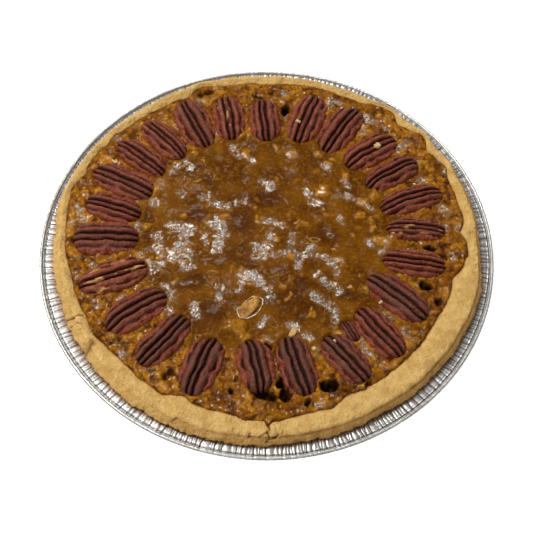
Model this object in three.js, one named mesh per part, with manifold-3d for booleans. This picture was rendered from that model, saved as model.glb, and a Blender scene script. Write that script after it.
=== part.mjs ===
// A nine-inch pecan pie in its foil tin, in millimetres, +Z up.
// The origin is the middle of the tin's flat base. -Y is the side shown in front.
import * as THREE from "three";
import { mergeVertices } from "three/addons/utils/BufferGeometryUtils.js";
import Module from "manifold-3d";

const wasm = await Module();
wasm.setup();

const { degToRad, euclideanModulo, lerp, smoothstep } = THREE.MathUtils;

// Clearance between pieces that touch in the real pie.
const GAP = 0.35;

// The tin: a nine-inch foil plate with a sloping wall, a wide flange and a rolled edge.
const TIN = {
  baseRadius: 92,
  mouthRadius: 111,
  rimRadius: 122.25,
  depth: 30,
  foil: 0.5,
  beadRadius: 0.95,
  beadSegments: 4,
  baseBend: 1.6,
  pleats: 50,
  pleatDepth: 0.22,
};

// The crust: a thick shortcrust shell that stands above the flange.
const CRUST = {
  floor: 5,
  wall: 6.5,
  overhang: 3.6,
  crestHeight: 38.6,
  lipDrop: 1.1,
  shoulderDrop: 1.0,
};

// The filling's top: its edge meets the crust, and its middle stands a little higher.
const FILLING = {
  dome: 1.2,
  swell: 0.45,
  rings: 10,
};

// Columns of faces round the pie, shared by the crust and the filling so that their faces stay apart.
const COLUMNS = 72;

// How far the filling runs out over the crust, every 15 degrees from +X towards +Y.
const FILLING_EDGE = [
  106.2, 107.2, 109.2, 108.2, 108.4, 108.4, 106.6, 108.2, 107.6, 108.6, 110.4, 110.8,
  108, 105, 105, 102.8, 103.8, 102.4, 104.8, 102.6, 100, 99.9, 100, 101.2,
];

// Tongues of filling that ran further out, or stopped short: where, how wide, and how far.
const TONGUES = [
  { turn: 52.5, spread: 5, out: 4.2 },
  { turn: 39.5, spread: 3.5, out: 3 },
  { turn: 111, spread: 4, out: 2.2 },
  { turn: 245, spread: 4, out: -1.8 },
  { turn: 357, spread: 4, out: 1.8 },
];

// How far the crust reaches out over the flange, past its mean radius, every 15 degrees from +X.
const CRUST_REACH = [
  -0.1, 0.6, 0.9, 0.9, -0.1, -0.3, -0.3, 0, 0.4, 0.9, 1.9, 2.4,
  0.4, -0.2, -0.1, 0.2, 0.4, 0.3, -0.4, -1.1, -1.8, -1, -0.2, 1.2,
];

// How much of the crust's height stands upright outside, from 0, a plain slope, to 1, a steep side.
const CRUST_STEEPNESS = [0.9, 0.8, 0.8, 0.8, 0.8, 0.5, 0.3, 0.2, 0.35, 0.8, 1, 1];

// The crust's crest above or below its mean height, every 30 degrees from +X.
const CREST_CHANGE = [0.2, -0.2, -0.6, 0.1, 0.3, 0.2, -0.3, -0.4, -0.1, 0.4, 0.5, 0.6];

// The pecan halves, counter-clockwise from +X. x and y are the middle, turn is the way that the
// outer end points, in degrees from +X, and nose is how far that end dips, in degrees.
const PECANS = [
  { x: 80.0, y: 7.5, turn: -3, length: 30, width: 12.5, nose: 2 },
  { x: 78.0, y: 26.5, turn: 20, length: 34.5, width: 14, nose: -2 },
  { x: 68.2, y: 43.5, turn: 33, length: 32, width: 14.5, nose: 0 },
  { x: 57.0, y: 58.5, turn: 36, length: 33, width: 17, nose: 3 },
  { x: 40.3, y: 74.0, turn: 57, length: 34, width: 17, nose: -3 },
  { x: 21.8, y: 80.5, turn: 70, length: 33, width: 17.2, nose: 0 },
  { x: -2.0, y: 79.0, turn: 96, length: 28.5, width: 15.6, nose: 2 },
  { x: -22.3, y: 80.5, turn: 100, length: 29.5, width: 16.2, nose: 0 },
  { x: -41.5, y: 76.0, turn: 117, length: 34, width: 17, nose: -2 },
  { x: -58.2, y: 64.5, turn: 134, length: 32.5, width: 14.2, nose: 2 },
  { x: -69.8, y: 52.0, turn: 142, length: 33, width: 14, nose: -1 },
  { x: -78.8, y: 36.0, turn: 153, length: 36, width: 16.2, nose: 2 },
  { x: -83.2, y: 18.4, turn: 163, length: 30.5, width: 15.4, nose: 0 },
  { x: -85.6, y: -0.8, turn: 181, length: 34, width: 18.6, nose: -2 },
  { x: -80.0, y: -23.8, turn: 201, length: 36, width: 16.2, nose: 1 },
  { x: -67.0, y: -44.0, turn: 216, length: 35, width: 17.6, nose: -1 },
  { x: -52.0, y: -61.2, turn: 230, length: 34, width: 15.6, nose: 2 },
  { x: -32.0, y: -75.5, turn: 249, length: 32.5, width: 17.2, nose: 3 },
  { x: -4.8, y: -75.0, turn: 284, length: 28, width: 16.4, nose: 2 },
  { x: 16.2, y: -75.2, turn: 288, length: 33.5, width: 16.4, nose: 5 },
  { x: 41.0, y: -70.3, turn: 311, length: 31, width: 15.6, nose: 2 },
  { x: 58.5, y: -55.4, turn: 309, length: 33, width: 15.6, nose: 0 },
  { x: 68.5, y: -34.4, turn: 320, length: 36.5, width: 17, nose: 1 },
  { x: 78.0, y: -13.4, turn: 351, length: 32, width: 14.4, nose: -1 },
];

// A broken chip of pecan that lies behind the front right halves.
const CHIP = { x: 43.4, y: -54.4, turn: 300, length: 12.5, width: 8.4, height: 6.5, nose: 4 };

const PECAN = {
  height: 10,
  belly: 0.26,
  sunk: 4.6,
  bluntness: 2.5,
  columnsAbove: 8,
  columnsBelow: 4,
  rings: 6,
};

// Holes that burst bubbles left in the filling. across runs along turn, and wide across it.
const PITS = [
  { x: 9.6, y: 86, across: 7, wide: 4.6, deep: 5, turn: 75 },
  { x: 87, y: -4.4, across: 7.5, wide: 3.6, deep: 4, turn: -10 },
  { x: 84, y: -27, across: 6.5, wide: 4.6, deep: 5, turn: -20 },
  { x: 32, y: -86, across: 8, wide: 4.6, deep: 6, turn: 10 },
  { x: 4, y: -95, across: 17, wide: 9, deep: 3.4, turn: -20 },
  { x: 21.5, y: -97, across: 6, wide: 4, deep: 3.4, turn: 20 },
  { x: -49.5, y: -82.5, across: 8, wide: 5, deep: 2.6, turn: 60 },
  { x: -40, y: 98, across: 11, wide: 4.4, deep: 2.6, turn: 15 },
  { x: 92, y: 20, across: 6.5, wide: 4, deep: 3, turn: 40 },
];

// Chopped pecan under the filling's skin, set on a sunflower spiral.
const NUT_BITS = {
  count: 30,
  outerRadius: 55,
  sizes: [4.2, 6.4],
  proud: 1.1,
  wander: 2.6,
  seed: 11,
};

// Pieces of nut that stand out of the skin. long runs along turn.
const SHOWN_BITS = [
  { x: -8, y: -42, long: 10.4, wide: 5.2, proud: 1.5, turn: 50 },
  { x: 14, y: -56, long: 5.6, wide: 2.8, proud: 1.6, turn: 60 },
  { x: 44, y: -29, long: 6.4, wide: 3.8, proud: 0.8, turn: 15 },
];

// The split in the front of the crust.
const CRACK = { turn: -89, width: 1.3, depth: 4.2, length: 9, radius: 109.5 };

const COLOURS = {
  foil: 0xd3d3d1,
  crust: 0xd7ab62,
  filling: 0x7c4b12,
  pecan: 0x6e3424,
};

// A repeatable run of numbers from 0 to 1 (mulberry32).
function numbersFrom(seed) {
  let state = seed;
  return () => {
    state = (state + 0x6d2b79f5) | 0;
    let t = Math.imul(state ^ (state >>> 15), 1 | state);
    t = (t + Math.imul(t ^ (t >>> 7), 61 | t)) ^ t;
    return ((t ^ (t >>> 14)) >>> 0) / 4294967296;
  };
}

// Reads a ring of evenly spaced values at any angle, easing from each value to the next.
function readRing(values, angle) {
  const place = euclideanModulo(angle / (2 * Math.PI), 1) * values.length;
  const before = Math.floor(place) % values.length;
  const after = (before + 1) % values.length;
  return lerp(values[before], values[after], smoothstep(place % 1, 0, 1));
}

// The filling's outline, tongues and all.
function fillingEdge(angle) {
  const tongues = TONGUES.map(({ turn, spread, out }) => {
    const apart = euclideanModulo(angle - degToRad(turn) + Math.PI, 2 * Math.PI) - Math.PI;
    return out * Math.exp(-((apart / degToRad(spread)) ** 2));
  });
  return tongues.reduce((edge, tongue) => edge + tongue, readRing(FILLING_EDGE, angle));
}

const crestHeight = (angle) => CRUST.crestHeight + readRing(CREST_CHANGE, angle);
const crustReach = (angle) => TIN.mouthRadius + CRUST.overhang + readRing(CRUST_REACH, angle);

// The smooth height of the filling's top, before its nuts and holes.
function fillingHeight(x, y) {
  const radius = Math.hypot(x, y);
  const angle = Math.atan2(y, x);
  const share = Math.min(1, radius / fillingEdge(angle));
  const rim = crestHeight(angle) - CRUST.lipDrop;
  const middle = CRUST.crestHeight - CRUST.lipDrop + FILLING.dome;
  const swell = Math.sin(x / 13 + 1.2) * Math.cos(y / 11) + Math.sin((x - y) / 19);
  return lerp(middle, rim, share ** 3) + FILLING.swell * swell * (1 - share ** 6);
}

// A closed geometry turned about the Z axis, whose section is worked out anew at each angle.
// sectionAt(angle, column) gives Vector2 points (radius, height), from the axis below to the axis
// above. Two pieces that face each other split their faces the same way if one of them is crossed.
function turned(columns, sectionAt, crossed = false) {
  const geometry = new THREE.LatheGeometry(sectionAt(0, 0), columns);
  const faces = geometry.index.array;
  for (let i = 0; crossed && i < faces.length; i += 6) {
    const [a, b, d, c] = faces.slice(i, i + 4);
    faces.set([a, b, c, a, c, d], i);
  }
  const position = geometry.getAttribute("position");
  for (let i = 0; i <= columns; i += 1) {
    const column = i % columns;
    const angle = (column * 2 * Math.PI) / columns;
    const section = sectionAt(angle, column);
    section.forEach(({ x: radius, y: height }, j) => {
      const k = i * section.length + j;
      position.setXYZ(k, radius * Math.cos(angle), radius * Math.sin(angle), height);
    });
  }
  return bare(geometry);
}

// The same geometry with positions alone and shared vertices merged, as a closed mesh needs.
function bare(geometry) {
  geometry.deleteAttribute("normal");
  geometry.deleteAttribute("uv");
  return mergeVertices(geometry);
}

const point = (radius, height) => new THREE.Vector2(radius, height);

// The tin's section: the underside out to the rolled edge, and the upper side back to the middle.
function tinSection(_angle, column) {
  const { baseRadius, mouthRadius, rimRadius, depth, foil, beadRadius, baseBend } = TIN;
  const lift = column % 2 === 0 ? TIN.pleatDepth : -TIN.pleatDepth;
  const beadMiddle = point(rimRadius - beadRadius, depth + 0.1);
  const bead = [];
  for (let i = 0; i <= TIN.beadSegments; i += 1) {
    const turn = lerp(-2.2, 3.0, i / TIN.beadSegments);
    bead.push(
      point(
        beadMiddle.x + beadRadius * Math.cos(turn),
        beadMiddle.y + beadRadius * Math.sin(turn),
      ),
    );
  }
  const flangeOuter = rimRadius - 2.6 * beadRadius;
  return [
    point(0, 0),
    point(baseRadius - baseBend, 0),
    point(baseRadius + 0.3 * baseBend, 0.8 * baseBend),
    point(mouthRadius + lift, depth - foil),
    point(flangeOuter, depth - foil + lift),
    ...bead,
    point(flangeOuter, depth + lift),
    point(mouthRadius - 0.2 + lift, depth),
    point(baseRadius + 0.3 * baseBend - foil, 0.8 * baseBend + 0.3 * foil),
    point(baseRadius - baseBend - 0.3 * foil, foil),
    point(0, foil),
  ];
}

// The crust's inner side, from its floor up to its lip, drawn in by inset.
function crustInside(angle, inset) {
  const edge = fillingEdge(angle);
  const lip = crestHeight(angle) - CRUST.lipDrop;
  const floor = TIN.foil + GAP + CRUST.floor;
  return [
    point(TIN.baseRadius - CRUST.wall + 1 - inset, floor + inset),
    point(Math.min(edge - 1.5, TIN.mouthRadius - CRUST.wall) - inset, lip - 5),
    point(edge - inset, lip),
  ];
}

// The crust's section: out under the floor, up the tin's wall, over the rim and down inside.
function crustSection(angle) {
  const { baseRadius, mouthRadius, depth, foil, baseBend } = TIN;
  const reach = crustReach(angle);
  const crest = crestHeight(angle);
  const edge = fillingEdge(angle);
  const steep = readRing(CRUST_STEEPNESS, angle);
  const seat = depth + TIN.pleatDepth + GAP;
  const rise = crest - seat;
  const inside = crustInside(angle, 0);
  return [
    point(0, foil + GAP),
    point(baseRadius - baseBend - 1, foil + GAP),
    point(baseRadius - 0.6, 2.4),
    point(mouthRadius - 1.4, depth - 1),
    point(mouthRadius - 0.6, seat),
    point(reach, seat),
    point(reach + 0.2 * steep, seat + 0.28 * rise),
    point(lerp(reach - 2.2, reach - 0.3, steep), seat + lerp(0.55, 0.68, steep) * rise),
    point(lerp(edge, reach, lerp(0.45, 0.72, steep)), crest - CRUST.shoulderDrop * 0.4),
    point(lerp(edge, reach, 0.3), crest),
    ...inside.reverse(),
    point(0, foil + GAP + CRUST.floor),
  ];
}

// The filling's section: along the crust's floor, up its inner side, and back over the top.
function fillingSection(angle) {
  const side = crustInside(angle, GAP + 0.05);
  const edge = side[2].x;
  const top = [];
  for (let i = 1; i < FILLING.rings; i += 1) {
    const radius = edge * (1 - i / FILLING.rings);
    top.push(point(radius, fillingHeight(radius * Math.cos(angle), radius * Math.sin(angle))));
  }
  return [point(0, side[0].y), ...side, ...top, point(0, fillingHeight(0, 0))];
}

// How wide a pecan half is at a place along it, from -1 to 1, as a share of its full width.
const pecanFullness = (along) => (1 - Math.min(1, Math.abs(along)) ** PECAN.bluntness) ** 0.5;

// One pecan half, its long axis on X and its flat side down, with a deep middle groove between two
// lobes and a shallow furrow along each.
function pecanHalf({ length, width, height }) {
  const { columnsAbove, columnsBelow, rings } = PECAN;
  const columns = columnsAbove + columnsBelow;
  const geometry = new THREE.SphereGeometry(1, columns, rings);
  geometry.rotateZ(Math.PI / 2);
  const position = geometry.getAttribute("position");
  const vertex = new THREE.Vector3();
  for (let i = 0; i < position.count; i += 1) {
    vertex.fromBufferAttribute(position, i);
    const along = vertex.x;
    const fullness = pecanFullness(along);
    const column = (i % (columns + 1)) % columns;
    const above = column <= columnsAbove;
    const turn = above ? column / columnsAbove : 1 + (column - columnsAbove) / columnsBelow;
    const atTip = Math.abs(along) > 0.9999;
    const across = -Math.cos(turn * Math.PI);
    const up = atTip ? 0 : Math.sin(turn * Math.PI);
    const groove = 0.2 * Math.exp(-((across / 0.12) ** 2));
    const furrow = 0.1 * Math.exp(-(((Math.abs(across) - 0.71) / 0.1) ** 2));
    const back = up ** 0.75 * (1 - PECAN.belly - groove - furrow);
    const roof = up > 0 ? back : -PECAN.belly * Math.abs(up) ** 0.5;
    position.setXYZ(
      i,
      along * (length / 2),
      atTip ? 0 : across * fullness * (width / 2),
      roof * (0.35 + 0.65 * fullness) * height,
    );
  }
  return bare(geometry);
}

// The hollow that a pecan half sits in: its outline, a little larger, with upright sides.
function pecanHollow({ length, width, height }) {
  const outline = [];
  for (let i = 0; i < 2 * PECAN.rings; i += 1) {
    const turn = (i * Math.PI) / PECAN.rings;
    const across = Math.sign(Math.round(Math.sin(turn) * 100)) * pecanFullness(Math.cos(turn));
    outline.push(point(Math.cos(turn) * (length / 2 + 1.5 * GAP), across * (width / 2 + 1.5 * GAP)));
  }
  const hollow = new THREE.ExtrudeGeometry(new THREE.Shape(outline), {
    depth: height,
    bevelEnabled: false,
  });
  return bare(hollow.translate(0, 0, -PECAN.belly * height - GAP));
}

// A geometry, moved by a matrix, as a manifold solid.
function solidOf(geometry, matrix = new THREE.Matrix4()) {
  const { position } = geometry.clone().applyMatrix4(matrix).attributes;
  return new wasm.Manifold(
    new wasm.Mesh({
      numProp: 3,
      vertProperties: new Float32Array(position.array),
      triVerts: new Uint32Array(geometry.index.array),
    }),
  );
}

// A manifold solid as a geometry again.
function geometryOf(solid) {
  const { vertProperties, triVerts } = solid.getMesh();
  const geometry = new THREE.BufferGeometry();
  geometry.setAttribute("position", new THREE.BufferAttribute(vertProperties, 3));
  geometry.setIndex(new THREE.BufferAttribute(triVerts, 1));
  return geometry;
}

// A plain material of one colour.
function finish(color, roughness, metalness = 0) {
  return new THREE.MeshStandardMaterial({ color, roughness, metalness });
}

// A named mesh with its normals worked out.
function piece(name, geometry, material) {
  geometry.computeVertexNormals();
  const mesh = new THREE.Mesh(geometry, material);
  mesh.name = name;
  return mesh;
}

// Lays a pecan mesh in the filling where its entry says.
function layDown(mesh, { x, y, turn, nose }) {
  mesh.position.set(x, y, fillingHeight(x, y) + PECAN.belly * PECAN.height - PECAN.sunk);
  mesh.rotation.set(0, degToRad(nose), degToRad(turn), "ZYX");
  mesh.updateMatrix();
  return mesh;
}

// One bit of nut, partly sunk in the filling.
function nutBit({ x, y, long, wide, high, proud, tilt }) {
  const place = new THREE.Matrix4().compose(
    new THREE.Vector3(x, y, fillingHeight(x, y) + proud - high / 2),
    new THREE.Quaternion().setFromEuler(tilt),
    new THREE.Vector3(long / 2, wide / 2, high / 2),
  );
  return solidOf(bare(new THREE.IcosahedronGeometry(1, 0)), place);
}

// The chopped nuts that lift the filling's skin, and the ones that stand out of it.
function nutBits() {
  const { count, outerRadius, sizes, proud, wander, seed } = NUT_BITS;
  const next = numbersFrom(seed);
  const goldenTurn = Math.PI * (3 - Math.sqrt(5));
  const bits = SHOWN_BITS.map((bit) => {
    const tilt = new THREE.Euler(0, 0, degToRad(bit.turn));
    return nutBit({ ...bit, high: 1.2 * bit.wide, tilt });
  });
  for (let i = 0; i < count; i += 1) {
    const radius = outerRadius * Math.sqrt((i + 0.5) / count);
    const x = radius * Math.cos(i * goldenTurn) + wander * (next() - 0.5);
    const y = radius * Math.sin(i * goldenTurn) + wander * (next() - 0.5);
    const long = lerp(sizes[0], sizes[1], next());
    const tilt = new THREE.Euler(0.4 * next(), 0.4 * next(), 6.3 * next());
    bits.push(nutBit({ x, y, long, wide: long / 1.4, high: long / 1.5, proud, tilt }));
  }
  return bits;
}

// The holes in the filling.
function pits() {
  return PITS.map(({ x, y, across, wide, deep, turn }) => {
    const place = new THREE.Matrix4().compose(
      new THREE.Vector3(x, y, fillingHeight(x, y) + 0.4),
      new THREE.Quaternion().setFromEuler(new THREE.Euler(0, 0, degToRad(turn))),
      new THREE.Vector3(across / 2, wide / 2, deep),
    );
    return solidOf(bare(new THREE.IcosahedronGeometry(1, 0)), place);
  });
}

// The split in the crust's front, as the wedge that opens it.
function crackWedge() {
  const { turn, width, depth, length, radius } = CRACK;
  const outline = new THREE.Shape([point(-width / 2, 0), point(0, -depth), point(width / 2, 0)]);
  const wedge = new THREE.ExtrudeGeometry(outline, { depth: length, bevelEnabled: false });
  wedge.rotateX(Math.PI / 2);
  wedge.rotateZ(degToRad(turn) + Math.PI / 2);
  const angle = degToRad(turn);
  wedge.translate(radius * Math.cos(angle), radius * Math.sin(angle), CRUST.crestHeight + 1);
  return solidOf(bare(wedge));
}

const pie = new THREE.Group();
const nuts = new THREE.Group();
const pecanFinish = finish(COLOURS.pecan, 0.55);

const halves = PECANS.map((entry, i) => {
  const size = { ...entry, height: PECAN.height };
  const geometry = pecanHalf(size);
  const name = `pecan_${String(i + 1).padStart(2, "0")}`;
  return { entry: size, mesh: layDown(piece(name, geometry, pecanFinish), entry) };
});
halves.push({ entry: CHIP, mesh: layDown(piece("pecan_chip", pecanHalf(CHIP), pecanFinish), CHIP) });
halves.forEach(({ mesh }) => nuts.add(mesh));

const core = solidOf(turned(COLUMNS, fillingSection, true));
const nutty = nutBits().reduce((all, bit) => all.add(bit), core);
const hollows = halves.map(({ entry, mesh }) => solidOf(pecanHollow(entry), mesh.matrix));
const fillingSolid = [...pits(), ...hollows].reduce((all, cut) => all.subtract(cut), nutty);
const crustSolid = solidOf(turned(COLUMNS, crustSection)).subtract(crackWedge());

pie.add(piece("foil_tin", turned(2 * TIN.pleats, tinSection), finish(COLOURS.foil, 0.3, 1)));
pie.add(piece("crust", geometryOf(crustSolid), finish(COLOURS.crust, 0.9)));
pie.add(piece("filling", geometryOf(fillingSolid), finish(COLOURS.filling, 0.2)));
pie.add(nuts);

export default pie;
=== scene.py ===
"""A pecan pie in its foil tin: every solid of the frame gets its real surface, finish and light."""

import math
import random

import bmesh
import bpy
import numpy as np
from mathutils import Euler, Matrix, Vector, noise


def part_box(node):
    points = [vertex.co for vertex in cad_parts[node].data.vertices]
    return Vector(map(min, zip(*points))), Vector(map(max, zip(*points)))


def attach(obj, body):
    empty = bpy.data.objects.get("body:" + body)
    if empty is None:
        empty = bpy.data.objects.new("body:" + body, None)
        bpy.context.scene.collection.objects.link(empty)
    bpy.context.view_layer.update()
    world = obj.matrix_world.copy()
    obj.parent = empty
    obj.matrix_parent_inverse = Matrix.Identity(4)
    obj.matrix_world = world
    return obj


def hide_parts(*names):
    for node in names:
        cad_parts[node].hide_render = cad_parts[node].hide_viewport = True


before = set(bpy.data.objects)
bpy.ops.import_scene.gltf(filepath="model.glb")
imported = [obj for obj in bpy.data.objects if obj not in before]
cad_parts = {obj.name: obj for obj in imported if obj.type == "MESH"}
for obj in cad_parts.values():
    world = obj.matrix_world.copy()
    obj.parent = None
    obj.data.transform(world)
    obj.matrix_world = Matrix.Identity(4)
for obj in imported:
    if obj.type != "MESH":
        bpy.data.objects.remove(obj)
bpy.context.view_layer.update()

# Lengths below are in millimetres and angles in degrees, unless a name says otherwise.
MM = 0.001

# The camera stands in front of the pie and looks down on it.
CAMERA = {"elevation": 58.4, "distance": 700, "lens": 87.6, "roll": 0.77, "aim": (0, -11.2, 30)}

# The foil tin.
TIN = {
    "foil": 0.3,
    "base_radius": 91,
    "mouth_radius": 111,
    "flange_height": 30,
    "bead": 0.95,
    "pleat_gap": (2.2, 4.2),
    "pleat_rise": (0.1, 0.24),
    "pleat_tilt": 0.2,
    "pleat_skew": 0.6,
    "flange_middle": 115,
    "columns": 2200,
}

# The crust. Steepness and foot go round the pie from +X, every 30 degrees: a steepness of 0 is a plain
# slope and 1 a side. "below" is its underside, as radius and height, and "behind" are the steps inwards
# and down behind the filling's edge.
CRUST = {
    "floor_radius": 86.5,
    "floor_height": 5.85,
    "seat": 30.4,
    "wall_radius": 109,
    "least_lip": 2.4,
    "columns": 1500,
    "face_rows": 46,
    "steepness": [0.9, 0.8, 0.8, 0.8, 0.8, 0.5, 0.3, 0.2, 0.35, 0.8, 1, 1],
    "foot": [0, 0, 0, 0.2, 0.2, 0.1, -0.7, -0.8, 0.2, 0.7, 0.7, 0.2],
    "below": [(0, 0.85), (85, 0.85), (91, 2.4), (100, 15), (109.4, 28.8), (110.2, 30.2)],
    "behind": [(-3.2, -5), (-3.6, -8)],
}

# Splits and creases in the crust: the points along each, its width and its depth.
CRACKS = [
    ([(1.9, -103.5), (1.6, -106.6), (3.0, -109.8), (1.9, -111.2), (2.3, -112.3)], 0.42, 2.4),
    ([(6.6, -111.8), (4.4, -113.0), (2.3, -113.6), (0.6, -114.2)], 0.35, 1.4),
    ([(1.9, -111.4), (-0.6, -112.2), (-2.4, -112.9)], 0.3, 0.9),
    ([(9.0, -109.7), (8.2, -111.6)], 0.35, 0.8),
    ([(-6.7, -111.4), (-7.9, -112.6)], 0.45, 0.9),
    ([(-12.3, -111.4), (-12.6, -112.4)], 0.4, 0.7),
    ([(-43.0, -103.6), (-45.5, -104.4)], 0.5, 0.8),
    ([(-104.5, -47.2), (-98.5, -47.4), (-94.5, -46.4)], 0.4, 1.0),
    ([(-100.6, -51.5), (-97.2, -50.6), (-94, -51.8)], 0.3, 0.8),
    ([(-88.4, -62.0), (-91.5, -66.5)], 1.5, 0.8),
    ([(84, -74.6), (87.5, -77)], 0.3, 0.5),
]

# The filling, with its skirt as steps inwards and down from its edge.
FILLING = {
    "grid": 300,
    "level": 38.6,
    "shore_drop": 1.1,
    "dome": 1.2,
    "swell": 0.45,
    "skirt": [(-1.4, -4), (-2.4, -10)],
    "foot_radius": 85,
    "foot": 6.6,
}

# Mounds strewn over the filling: how many, over which ring, how far apart, their size, rise and growth
# with size, and how golden they may be.
SYRUP_MOUNDS = {
    "count": 130,
    "ring": (0, 64),
    "gap": 4.8,
    "size": (0.9, 2.4),
    "rise": (0.12, 0.34),
    "growth": 0.8,
    "golden": (0, 0.1, 0.3, 0.8),
}
FROTH_MOUNDS = {
    "count": 230,
    "ring": (60, 108),
    "gap": 3.6,
    "size": (1.3, 4.2),
    "rise": (0.35, 0.62),
    "growth": 0.9,
    "golden": (0, 0.2, 0.4, 0.9),
}

# Places where the filling ran over the crust's lip, or the lip held it in: angle, width and reach.
TONGUES = [
    (52.5, 3.0, 1.0), (57.5, 1.6, 1.2), (47.5, 2.2, -1.2), (39.5, 2.2, 1.0), (34.0, 2.2, -1.6),
    (27.0, 2.4, 1.4), (3.8, 1.6, -2.2), (9.5, 2.4, 0.8), (351.5, 2.0, 1.4), (347.0, 1.6, -0.8),
    (295.0, 2.6, -1.4), (289.0, 1.6, 0.8), (271.1, 0.9, 2.6), (240.0, 2.2, 1.0), (246.5, 1.8, -1.2),
    (232.0, 2.2, 0.7), (207.0, 2.6, -0.9), (213.0, 2.0, 0.7), (163.0, 2.0, 1.3), (157.0, 1.8, -1.4),
    (141.0, 2.2, 1.2), (145.5, 1.6, -0.8), (116.0, 2.0, -1.6), (110.5, 2.4, 0.9), (95.0, 2.0, 0.6),
    (85.0, 2.0, 0.6), (68.0, 1.8, -0.8),
]

# Holes that burst bubbles left in the filling: place, size along and across, depth, and turn.
HOLES = [
    (9.8, 86.5, 7.2, 4.4, 5.0, 80), (2.5, 99.5, 4.5, 2.0, 2.6, 20),
    (-6.5, 96.8, 6.0, 1.8, 2.6, -20), (-36, 98, 8.5, 3.2, 2.4, 20), (87, 23, 4.4, 3.0, 2.6, 30),
    (86.5, -4.2, 7.0, 3.2, 3.6, -10), (83.5, -27.0, 6.4, 4.8, 4.4, -20),
    (89.5, -36.5, 4.6, 2.6, 2.6, 40), (93.5, -9.0, 5.0, 1.8, 2.0, -30),
    (32.4, -85.6, 9.6, 5.6, 6.0, 8), (51, -84.0, 3.6, 2.4, 2.8, 20),
    (8.6, -84.6, 7.8, 4.6, 5.4, 80), (11.2, -91.0, 7.0, 5.2, 3.4, 60),
    (0.5, -91.4, 12.5, 4.4, 4.6, -16), (1.6, -65.0, 4.4, 3.0, 3.6, -30),
    (21.8, -95.5, 4.2, 2.8, 3.2, 40), (-16.5, -89.4, 2.8, 2.4, 2.6, 60),
    (-48.5, -80.5, 8.0, 3.6, 2.2, 45), (3.4, -98.5, 8.0, 6.4, 1.1, 60),
    (-90, -52.5, 7.0, 2.2, 1.6, -40), (90, 30, 4.6, 1.8, 1.6, 60),
]

# Golden lumps of nut and bubbles under the skin: place, radius, rise, and how golden they are.
LUMPS = [
    (-15.5, -53.2, 7.0, 2.4, 0.5), (33.8, 49.3, 3.0, 1.0, 0.75), (42.5, 39.4, 2.8, 1.0, 0.75),
    (29.8, 32.6, 4.4, 0.8, 0.75), (53, 24, 4.8, 1.0, 0.75), (50, 16, 3.3, 0.8, 0.60),
    (59.4, 0.8, 3.3, 0.8, 0.75), (57, 8, 2.7, 0.8, 0.68), (-12.2, 55.4, 3.1, 1.1, 0.75),
    (-40, 55, 2.3, 1.0, 0.68), (14, 56, 2.7, 0.8, 0.60), (-43.6, -14.5, 2.0, 1.1, 0.52),
    (-26, -21, 2.7, 1.2, 0.52), (-57, -12, 2.0, 0.8, 0.68), (24, -44, 2.3, 0.5, 0.75),
    (20.9, 9.7, 3.1, 1.0, 0.45), (-31, 21.8, 2.8, 1.4, 0.38), (-28.9, 38.3, 2.7, 1.0, 0.52),
    (5.7, 38.8, 2.5, 0.8, 0.38), (12.3, 16, 3.9, 1.4, 0.30), (-6.3, -3.3, 3.4, 1.2, 0.30),
]

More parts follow.
